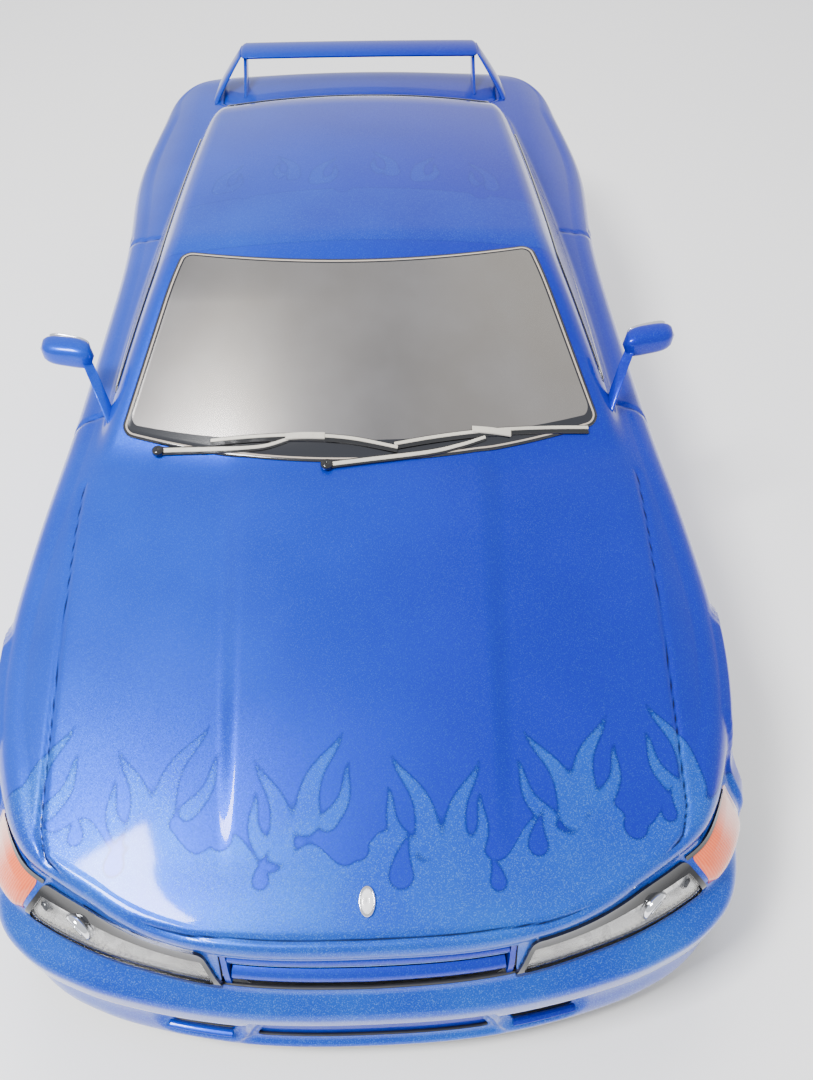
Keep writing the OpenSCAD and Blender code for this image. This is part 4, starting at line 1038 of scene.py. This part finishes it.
def tail_lamp_material():
    m = Nodes("tail_lamp_mat")
    place, height = m.attr("place"), m.attr("height")
    wave = m.math("MULTIPLY", m.math("SINE", m.math("MULTIPLY", place, 500.0)),
                  m.math("SINE", m.math("MULTIPLY", height, 5.0)))
    red = m.mix(m.map(wave, -1, 1), (0.30, 0.004, 0.006), (0.62, 0.02, 0.02))
    col = m.mix(m.map(place, 4.60, 4.605), red, (0.72, 0.72, 0.70))
    col = m.mix(m.map(place, 4.235, 4.24, 1, 0), col, (0.85, 0.30, 0.03))
    m.set(Base_Color=col, Roughness=m.map(m.noise(200), 0.3, 0.7, 0.1, 0.18), Normal=m.bump(wave, 0.3, 0.15))
    m.set(Coat_Weight=0.9)
    return m.mat


REFLECTOR, INDICATOR, TAIL_LAMP = reflector_material(), indicator_material(), tail_lamp_material()
LENS = clear_lens("lamp_lens_mat")


def skirt_sheet(name, s_range, z_range, field, lift, depth, mat, n=(160, 40), replace=()):
    """A piece of skin on the skirt where field(s, z) is above 0, on both sides of the car."""
    s, z = np.meshgrid(np.linspace(*s_range, n[0]), np.linspace(*z_range, n[1]), indexing="ij")
    s, z = s.ravel(), z.ravel()
    p = skirt_pt(s, z, lift(s, z))
    t = outward(p, grid_tris(*n), (0, p[:, 1].mean() * 0.6, 40))
    p, t, a = clip(p, t, field(s, z), {"place": s, "height": z})
    full, tris, _, attrs = thicken(p, t, depth, a)
    both_sides(name, full, tris, [mat], "lamp_lens", replace, attrs=attrs, sharp_deg=50)


def frame_field(s, z):
    f = lamp_field(s, z)
    fat = np.maximum(1.0 - f, 2.5 - (lamp_high(s) - z))
    return smin(f + 0.5, fat, 0.6)


def bowls(s, z):
    """Shape of the reflector behind the lens: a round bowl, a small one, and upright ribs between."""
    r1 = np.hypot((s - PROJECTOR[0]) * 82, z - PROJECTOR[1])
    r2 = np.hypot((s - SIDE_BULB[0]) * 78, z - SIDE_BULB[1])
    ribs = 0.35 * np.abs(np.sin(s * 150)) * ramp(0.56, 0.62, s)
    return -1.1 - 1.6 * bell(r1 / 5) - 1.0 * bell(r2 / 2.6) + ribs * ramp(3, 6, r1)


skirt_sheet("headlamp_lens", (0.35, 1.13), (44.4, 58), lambda s, z: lamp_field(s, z) - 0.3,
            lambda s, z: 0.1 + 0.7 * ramp(0, 4, lamp_field(s, z)), 0.5, LENS, replace=["lamps"])
skirt_sheet("headlamp_frame", (0.35, 1.13), (44.4, 58), frame_field, lambda s, z: 0.75 + 0 * s, 2.2,
            BLACK_GLOSS, n=(300, 90))
skirt_sheet("headlamp_reflector", (0.36, 1.12), (44.6, 57.4), lambda s, z: lamp_field(s, z) + 0.1, bowls, 0.7,
            REFLECTOR, n=(260, 60))


def indicator_field(s, z):
    f = (z - 45.2) / 11.6
    return smin(smin((s - mix(1.115, 1.095, f)) * 70, (mix(1.36, 1.40, f) - s) * 62, 2),
                smin(z - 45.4, 57.0 - z, 1), 2)


skirt_sheet("indicator", (1.06, 1.44), (44.6, 58), indicator_field,
            lambda s, z: 0.2 + 0.9 * ramp(0, 2.2, indicator_field(s, z)), 0.8, INDICATOR, n=(160, 60))
skirt_sheet("indicator_line", (1.04, 1.42), (56, 59.5),
            lambda s, z: smin(smin(z - 56.9, 58.0 - z, 0.2), smin((s - 1.07) * 60, (1.37 - s) * 60, 1), 0.3),
            lambda s, z: 0.45 + 0 * s, 0.6, BLACK_GLOSS, n=(120, 24))


def tail_field(s, z):
    return slot_box(s * 92, z, 4.42 * 92, 73, 0.245 * 92, 7, 2)


skirt_sheet("tail_lamp", (4.1, 4.73), (64, 82), lambda s, z: tail_field(s, z) - 0.8,
            lambda s, z: 0.5 + 0.8 * ramp(0.8, 3, tail_field(s, z)), 0.9, TAIL_LAMP, n=(180, 60))
skirt_sheet("tail_lamp_frame", (4.1, 4.73), (64, 82),
            lambda s, z: smin(tail_field(s, z) + 0.4, 1.1 - tail_field(s, z), 0.4),
            lambda s, z: 0.85 + 0 * s, 1.2, BLACK_GLOSS, n=(220, 90))


def on_skirt(s, z, e=0.0):
    """Point on the skirt and the direction that faces out of it."""
    p = skirt_pt(np.array([s]), z, e)[0]
    d = out_dir(np.array([s]))[0]
    return p, np.array([d[0], d[1], 0.0])


def round_lamp(name, s, z, e, profile, mat, n=48):
    """Turned piece whose axis looks out of the skirt at (s, z), on both sides."""
    c, d = on_skirt(s, z, e)
    v, f = lathe(profile, n, "z")
    side = np.array([-d[1], d[0], 0])
    v = v[:, [0]] * side + v[:, [1]] * np.array([0, 0, 1.0]) + v[:, [2]] * d
    if signed_volume(v, f) < 0:
        f = f[:, ::-1]
    both_sides(name, v + c, f, [mat], "lamp_lens")


DARK_GLASS = worn("dark_glass", (0.05, 0.055, 0.065), 0.08, 0.3, grain=200, grain_depth=0.02, coat=1.0)
round_lamp("projector_ring", *PROJECTOR, -2.4,
           [(3.3, 0), (4.2, 0), (4.3, 1.6), (4.0, 2.2), (3.6, 2.3), (3.4, 1.7)], CHROME)
round_lamp("projector_glass", *PROJECTOR, -2.8,
           [(0.01, 0), (3.4, 0), (3.4, 1.2), (2.9, 1.9), (2.0, 2.4), (1.0, 2.7), (0.01, 2.8)], DARK_GLASS)
round_lamp("projector_arc", *PROJECTOR, -0.3, [(1.7, 0.0), (2.1, 0.0), (2.1, 0.35), (1.7, 0.4)], CHROME, 36)
round_lamp("side_bulb", *SIDE_BULB, -2.0, [(0.01, 0), (1.7, 0), (1.7, 1.0), (1.2, 1.5), (0.01, 1.7)],
           DARK_GLASS, 32)


# ------------------------------------------------------------------ grille, bumper panels and badge
def nose_sheet(name, u0, u1, z0, z1, lift, depth, mat, n=(140, 12), replace=(), slant=0.0):
    """Strip across the nose from u0 to u1 (minus is the car's other side) and z0 to z1."""
    u, z = np.meshgrid(np.linspace(u0, u1, n[0]), np.linspace(z0, z1, n[1]), indexing="ij")
    u, z = u.ravel(), z.ravel()
    u = u + np.sign(u0 + u1 + 1e-9) * slant * (z - z0)
    p = skirt_pt(np.maximum(np.abs(u), 1e-4), z, lift(z))
    p[:, 0] *= np.sign(u)
    t = outward(p, grid_tris(*n), (p[:, 0].mean(), -150, 50))
    full, tris, _, _ = thicken(p, t, depth, {})
    piece(name, full, tris, [mat], "shell", "grille_trim", replace, sharp_deg=50)


def round_bar(z0, z1, e, bulge_by):
    """Lift of a bar whose face is rounded between z0 and z1."""
    return lambda z: e + bulge_by * np.sqrt(np.maximum(1 - ((z - (z0 + z1) / 2) / ((z1 - z0) / 2)) ** 2, 0))


def perforated(name, light, dark, scale):
    m = Nodes(name)
    hole = m.map(m.voronoi(scale, m.coords((1, 0.001, 1)))["Distance"], 0.28, 0.36)
    m.set(Base_Color=m.mix(hole, dark, light), Roughness=0.5, Normal=m.bump(hole, 0.6, 0.4))
    return m.mat


DUCT_MESH = perforated("duct_mesh", (0.42, 0.44, 0.47), (0.03, 0.03, 0.035), 620)
# painted highlight: the light blue of the thin lines along the grille bars' edges
PAINTED_HIGHLIGHT_BLUE = worn("painted_highlight_blue", (0.18, 0.34, 0.78), 0.25, 0.6, grain=400, vary=0.1, coat=1.0)
nose_sheet("grille_backing", -0.372, 0.372, 45.4, 56.9, lambda z: -4.2 + 0 * z, 0.8, BLACK_GLOSS,
           replace=["grille_and_badge"])
for nm, w, z0, z1 in (("lower", 0.35, 46.6, 50.3), ("upper", 0.36, 52.2, 55.6)):
    nose_sheet(f"grille_bar_{nm}", -w, w, z0, z1, round_bar(z0, z1, -2.2, 1.6), 1.6, PAINT_PLAIN)
# painted highlights: thin light-blue strips along the edges of the grille bars and under the bonnet edge
for k, z in enumerate((50.9, 51.7, 56.3)):
    nose_sheet(f"grille_highlight_line_{k + 1}", -0.36, 0.36, z - 0.2, z + 0.2, round_bar(z - 0.2, z + 0.2, -2.4, 0.3),
               0.8, PAINTED_HIGHLIGHT_BLUE, n=(140, 5))
for k, sgn in SIDES:
    nose_sheet(f"grille_end_{k}", sgn * 0.352, sgn * 0.368, 45.4, 56.8, lambda z: -0.5 + 0 * z, 2.8,
               PAINT_PLAIN, n=(8, 30), slant=0.0012)
nose_sheet("bumper_centre_panel", -0.36, 0.36, 13.2, 24.6, lambda z: -2.6 + 0 * z, 0.8, PAINT_PLAIN,
           n=(120, 60))
for k, sgn in SIDES:
    nose_sheet(f"bumper_duct_{k}", sgn * 0.355, sgn * 0.60, 15.2, 24.8, lambda z: -3.0 + 0 * z, 0.8,
               DUCT_MESH, n=(60, 20))
    nose_sheet(f"bumper_duct_lip_{k}", sgn * 0.385, sgn * 0.575, 16.1, 17.1, round_bar(16.1, 17.1, -0.4, 1.1),
               2.0, PAINT_PLAIN, n=(60, 12))

BADGE_Y = -201.0
BADGE_Z = float(top(0.0, BADGE_Y))
SLOPE = math.atan2(float(top(0.0, BADGE_Y + 1)) - float(top(0.0, BADGE_Y - 1)), 2)


def lay_on_bonnet(v):
    """A turned part squeezed to an oval and laid on the bonnet's slope at the badge."""
    v = v * (0.72, 1.25, 1)
    c, s_ = math.cos(SLOPE), math.sin(SLOPE)
    return np.stack([v[:, 0], BADGE_Y + v[:, 1] * c - v[:, 2] * s_,
                     BADGE_Z + 0.05 + v[:, 1] * s_ + v[:, 2] * c], 1)


WHITE_ENAMEL = worn("badge_enamel", (0.82, 0.82, 0.84), 0.15, grain=300, grain_depth=0.02, vary=0.05, coat=1.0)
v, f = lathe([(2.1, 0), (2.75, 0), (2.8, 0.5), (2.5, 0.85), (2.2, 0.8)], 48, "z")
piece("badge_ring", lay_on_bonnet(v), f, [CHROME], "shell", "grille_trim")
v, f = lathe([(0.01, 0), (2.3, 0), (2.3, 0.5), (1.4, 0.72), (0.01, 0.8)], 48, "z")
piece("badge_face", lay_on_bonnet(v), f, [WHITE_ENAMEL], "shell", "grille_trim")


# ------------------------------------------------------------------ mirrors, wing and door handles
def loft(sections):
    """Skin through rings of points, each ring (n, 3), closed at both ends."""
    g = np.array(sections, float)
    m, n = g.shape[:2]
    f = [(i * n + k, i * n + (k + 1) % n, (i + 1) * n + (k + 1) % n, (i + 1) * n + k)
         for i in range(m - 1) for k in range(n)]
    v = g.reshape(-1, 3)
    f += [tuple(range(n - 1, -1, -1)), tuple((m - 1) * n + k for k in range(n))]
    q = np.array([x for x in f if len(x) == 4])
    if signed_volume(v - v.mean(0), q) < 0:
        f = [tuple(reversed(x)) for x in f]
    return v, f


def ring(centre, a, b, x_dir, y_dir, power=2.6, n=28):
    """Rounded outline with half sizes a and b along two directions."""
    t = np.linspace(0, 2 * math.pi, n, endpoint=False)
    c, s_ = np.cos(t), np.sin(t)
    c, s_ = np.sign(c) * np.abs(c) ** (2 / power), np.sign(s_) * np.abs(s_) ** (2 / power)
    across = a * c[:, None] * unit(np.array(x_dir, float))
    return np.array(centre) + across + b * s_[:, None] * unit(np.array(y_dir, float))


pod = []
for k in range(15):
    f = k / 14
    r = (1 - (2 * f - 1) ** 4) ** 0.5 * 0.98 + 0.02
    c = (85.4 + 17.4 * f, -38.6 + 2.6 * f, 100.6 + 2.2 * f - 0.9 * f * f)
    pod.append(ring(c, 4.3 * r, mix(4.2, 3.6, f) * r, (0.15, 1, 0.1), (-0.1, 0, 1), 3))
v, f = loft(pod)
both_sides("mirror_pod", v, f, [PAINT_PLAIN], "candy_blue_paint", ["door_mirrors"])
stalk = []
for f in np.linspace(0, 1, 9):
    c = mix(np.array([80.8, -53.5, 89.2]), np.array([87.6, -40.5, 99.4]), f)
    c[2] += 1.4 * math.sin(math.pi * f)
    stalk.append(ring(c, mix(6.2, 2.8, f ** 0.7), mix(1.5, 1.7, f), (0.25, 1, 0.45), (1, -0.2, 0.5), 2.3))
v, f = loft(stalk)
both_sides("mirror_stalk", v, f, [PAINT_PLAIN], "candy_blue_paint")
v, f = loft([ring((94, -33.1 + k * 0.35, 101.9), 6.6 * w, 2.75 * w, (1, 0.15, 0.12), (0, 0, 1), 3.4)
             for k, w in ((0, 0.98), (1, 1.0), (2.2, 0.94))])
both_sides("mirror_glass", v, f, [CHROME], "candy_blue_paint")

WING_Y, WING_Z = 206.0, 104.5
foil = np.array([(-8, 0.6), (-6.8, 1.3), (-5, 1.9), (-2.5, 2.35), (0, 2.6), (2.5, 2.7), (5, 2.6), (7.2, 2.3),
                 (8.7, 1.85), (9.1, 1.4), (8.6, 0.9), (6.5, 0.3), (4, -0.2), (1, -0.6), (-2, -0.9),
                 (-4.5, -1.0), (-6.4, -0.75), (-7.6, -0.1)])
blade = []
for x in [-59, -58.7, -58, -57, -50, -30, -10, 10, 30, 50, 57, 58, 58.7, 59]:
    k = 1 - 0.35 * max(0, (abs(x) - 57) / 2) ** 2
    sweep = 0.9 * (x / 59) ** 2
    blade.append(np.stack([np.full(len(foil), x), WING_Y + foil[:, 0] * k - sweep,
                           WING_Z + 0.8 + (foil[:, 1] - 0.8) * k], 1))
v, f = loft(blade)
bevel(piece("wing_blade", v, f, [PAINT_PLAIN], "shell", "candy_blue_paint", ["rear_wing"], sharp_deg=60),
      0.25, 2, 50)
for nm, foot, head, w0, w1, len0, len1 in (
        ("wing_post", (56.5, 187, 0.2), (57, WING_Y - 1, WING_Z - 0.4), 1.0, 1.0, 8, 5.5),
        ("wing_leg", (70.5, 185, 0.2), (59.2, WING_Y - 0.4, WING_Z + 0.6), 1.5, 0.9, 10, 8)):
    rows = []
    for f in np.linspace(0, 1, 13):
        x, y = mix(foot[0], head[0], f ** 1.15), mix(foot[1], head[1], f)
        z = mix(float(top(foot[0], foot[1])) + foot[2], head[2], f)
        rows.append(ring((x, y, z), mix(w0, w1, f), mix(len0, len1, f), (1, 0, 0.3), (0, 1, 0), 2.8))
    v, f = loft(rows)
    both_sides(nm, v, f, [PAINT_PLAIN], "candy_blue_paint", sharp_deg=60)

s_door = 2 + (47 + 110) / 260
c, d = on_skirt(s_door, 71, 0.6)
v, f = loft([ring(c + d * h, 8.5 * w, 1.9 * w, (0, 1, 0), (0, 0, 1), 4)
             for h, w in ((-1.2, 1), (0.3, 1), (0.9, 0.9))])
both_sides("door_handle", v, f, [BLACK_GLOSS], "candy_blue_paint", sharp_deg=50)
v, f = lathe([(0.01, 0), (6.2, 0), (6.2, 0.5), (5.9, 0.62), (0.01, 0.62)], 56, "x")
c, d = on_skirt(3.14, 73, -0.3)
piece("fuel_flap", v + c, f, [PAINT_PLAIN], "shell", "candy_blue_paint", sharp_deg=40)


# ------------------------------------------------------------------ tyres
def tyre_material():
    m = Nodes("tyre_mat")
    vec = m.coords()
    fine = m.noise(900, 4, 0.6, vec)
    scuff = m.noise(70, 4, 0.6, vec)
    m.set(Base_Color=m.mix(m.map(scuff, 0.45, 0.75), (0.012, 0.012, 0.013), (0.045, 0.044, 0.043)),
          Roughness=m.map(fine, 0.3, 0.7, 0.5, 0.72), Normal=m.bump(fine, 0.5, 0.1))
    return m.mat


TYRE = tyre_material()
half = [(26.0, -13), (26.9, -13.1), (27.4, -13.0), (27.5, -12.75), (28.3, -12.75), (28.4, -13.0),
        (29.0, -12.9), (29.8, -12.4), (30.4, -11.7), (30.8, -10.9), (31.0, -10), (31.0, -7.4), (30.7, -7.3),
        (30.7, -6.5), (31.0, -6.4), (31.0, -0.5), (30.7, -0.4)]
TYRE_PROFILE = half + [(r, -h) for r, h in reversed(half)]
for e, y, x in (("front", FRONT_AXLE, 84.0), ("rear", REAR_AXLE, 86.0)):
    for side, sgn in SIDES:
        v, f = lathe(TYRE_PROFILE, 120, "x", (sgn * x, y, AXLE_Z))
        piece(f"{e}_tyre_moulded_{side}", v, f, [TYRE], f"{e}_wheel_{side}", "tyre_rubber",
              [f"{e}_tyre_{side}"], sharp_deg=35)

# ------------------------------------------------------------------ springs
RED = worn("spring_red", (0.62, 0.012, 0.012), 0.3, grain=500, grain_depth=0.04, vary=0.12, coat=0.7)
DAMP_TOP, DAMP_LOW = np.array([34.0, 66.0]), np.array([50.0, 20.0])
SEATS = (13.3, 35.7)       # spring seats along the damper
COIL_RADIUS, COILS, DAMPER_OFFSET = 6.1, 7.5, 13
dl = unit(DAMP_LOW - DAMP_TOP)
turn = np.linspace(0, 1, 400)
along = mix(*SEATS, np.clip((turn - 0.12) / 0.76, 0, 1))
ang = 2 * math.pi * COILS * turn
cosine, sine = COIL_RADIUS * np.cos(ang), COIL_RADIUS * np.sin(ang)
for e, y, k in (("front", FRONT_AXLE, -1), ("rear", REAR_AXLE, 1)):
    for side, sgn in SIDES:
        cx = DAMP_TOP[0] + dl[0] * along - cosine * dl[1]
        cz = DAMP_TOP[1] + dl[1] * along + cosine * dl[0]
        plane = y + k * DAMPER_OFFSET
        v, f = tube(np.stack([sgn * cx, plane + sine, cz], 1), 0.6, 10)
        ob = make_mesh(f"{e}_spring_{side}", v, f, [RED])
        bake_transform(ob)
        if (e, side) == ("front", "right"):
            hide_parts("coil_springs")

# ------------------------------------------------------------------ foam bumper and wires
FOAM = worn("bumper_foam_mat", (0.022, 0.022, 0.024), 0.9, grain=1300, grain_depth=0.35, vary=0.4, spec=0.2)
outline = [(-46, -190), (-41, -196.5), (-36, -201.5), (-27, -205), (-18, -207), (0, -207), (18, -207),
           (27, -205), (36, -201.5), (41, -196.5), (46, -190), (46, -185), (46, -180), (30, -180), (15, -180),
           (0, -180), (-15, -180), (-30, -180), (-46, -180), (-46, -185)]
loop = smooth_run([(a, b, 0) for a, b in outline + outline[:1]], 4)[:-1, :2]
mid = loop.mean(0)
layers = []
for h, w in ((7.5, 0.95), (8.0, 0.975), (9.2, 0.995), (13, 0.998), (19.5, 1.0), (26, 0.998), (29.8, 0.995),
             (31.0, 0.975), (31.5, 0.95)):
    layers.append(np.column_stack([mid + (loop - mid) * w, np.full(len(loop), h)]))
v, f = loft(layers)
foam = piece("foam_bumper", v, f, [FOAM], "chassis", "bumper_foam", ["front_bumper"], sharp_deg=60)
v, f = box((-24, -180, 7.5), (24, -158, 10.5))
bevel(piece("bumper_bracket", v, f, [CARBON], "chassis", "carbon_plate", smooth=False), 0.6, 2)

WIRES = []
MOTOR_RUN = [(0, 34.3, 18), (0, 42, 18), (-3, 52, 22), (-4, 62, 31), (-2, 71.6, 36.4)]
LEAD_RUN = [(-24, -5.4, 13), (-14, -12, 12), (-7, -26, 12), (-6.5, -60, 12), (-6.5, -86, 15), (2, -98, 22)]
SERVO_RUN = [(-28, -84.3, 12), (-26, -91, 10), (-10, -96, 10), (-5, -105.7, 12)]
for k, (nm, col) in enumerate((("blue", (0.02, 0.07, 0.6)), ("yellow", (0.75, 0.5, 0.03)),
                               ("orange", (0.75, 0.2, 0.02)))):
    WIRES.append((f"motor_wire_{nm}", [(-38 + 8 * k + a, b, c) for a, b, c in MOTOR_RUN], 1.3, col))
for k, (nm, col) in enumerate((("red", (0.55, 0.01, 0.01)), ("black", (0.015, 0.015, 0.016)))):
    run = [(a + 3.6 * k, b - 0.4 * k, c + 3.5 * k) for a, b, c in LEAD_RUN]
    run.append((19 + 14 * k, -98.2 - 0.6 * k, 24.5 + 3 * k))
    WIRES.append((f"battery_wire_{nm}", run, 1.4, col))
WIRES.append(("servo_wire", SERVO_RUN, 0.9, (0.02, 0.02, 0.022)))
for k, (nm, run, r, col) in enumerate(WIRES):
    pts = smooth_run(run, 10)
    v, f = tube(pts, r, 14)
    ob = piece(nm, v, f, [worn(nm + "_mat", col, 0.5, grain=700, vary=0.15)], "chassis", "wire_insulation",
               ["wiring"] if k == 0 else [])
GOLD = worn("gold_plug", (0.85, 0.6, 0.22), 0.25, 1.0, grain=500, grain_depth=0.03, vary=0.1)
for k, x in enumerate((19, 33)):
    v, f = lathe([(0.01, 0), (2, 0), (2, 14), (0.01, 14)], 28, "y", (x, -96, 24.5))
    piece(f"battery_plug_{k + 1}", v, f, [GOLD], "chassis", "wire_insulation", sharp_deg=40)


# ------------------------------------------------------------------ finish of the CAD pieces that stay
def battery_case():
    m = Nodes("battery_case_mat")
    stripe = m.new("ShaderNodeTexWave", wave_type="BANDS", bands_direction="Y")
    stripe.inputs["Scale"].default_value = 7
    stripe.inputs["Distortion"].default_value = 0
    m.link(m.coords(), stripe.inputs["Vector"])
    band = m.map(stripe.outputs["Fac"], 0.90, 0.93)
    fine = m.noise(900)
    m.set(Base_Color=m.mix(band, (0.012, 0.012, 0.014), (0.55, 0.03, 0.02)),
          Roughness=m.map(fine, 0.3, 0.7, 0.28, 0.42),
          Normal=m.bump(fine, 0.3, 0.06))
    return m.mat


FINISH = {
    "magnet_steel": worn("magnet_mat", (0.62, 0.62, 0.64), 0.18, 1.0, grain=600, vary=0.06),
    "carbon_plate": CARBON,
    "black_nylon": NYLON,
    "motor_can": worn("motor_can_mat", (0.34, 0.35, 0.38), 0.28, 1.0, grain=1500, vary=0.1,
                      stretch=(0.15, 1, 1)),
    "battery_wrap": battery_case(),
    "electronics_case": worn("electronics_mat", (0.016, 0.016, 0.018), 0.38, grain=1000, vary=0.3),
    "servo_case": worn("servo_mat", (0.013, 0.013, 0.015), 0.42, grain=1100, vary=0.3),
    "zinc_steel": STEEL,
    "gear_brass": worn("brass_mat", (0.72, 0.5, 0.18), 0.3, 1.0, grain=900, vary=0.1),
    "satin_aluminium": ALLOY,
    "rim_silver": worn("rim_mat", (0.74, 0.75, 0.78), 0.16, 0.95, grain=500, grain_depth=0.02, vary=0.04,
                       coat=0.8),
    "damper_aluminium": worn("damper_body_mat", (0.5, 0.51, 0.54), 0.25, 1.0, grain=1500, grain_depth=0.05,
                             vary=0.08),
    "damper_steel": worn("damper_shaft_mat", (0.7, 0.7, 0.72), 0.12, 1.0, grain=900, grain_depth=0.02,
                         vary=0.05),
}
# edge radius in mm where it is not the usual 0.2
ROUNDED = {"chassis_plate": 0.35, "upper_deck": 0.3, "bulkheads": 0.4, "shock_towers": 0.35, "battery": 0.9,
           "receiver": 0.8, "speed_controller": 0.5, "steering_servo": 0.7, "motor": 0.3, "servo_saver": 0.25}
slots = {s["node"]: s["material_slot"] for s in frame["record"]["subparts"]}
for name, ob in frame["nodes"].items():
    if ob.hide_render or slots.get(name) not in FINISH:
        continue
    ob.data.materials.clear()
    ob.data.materials.append(FINISH[slots[name]])
    bevel(ob, ROUNDED.get(name, 0.2), 2, 40)
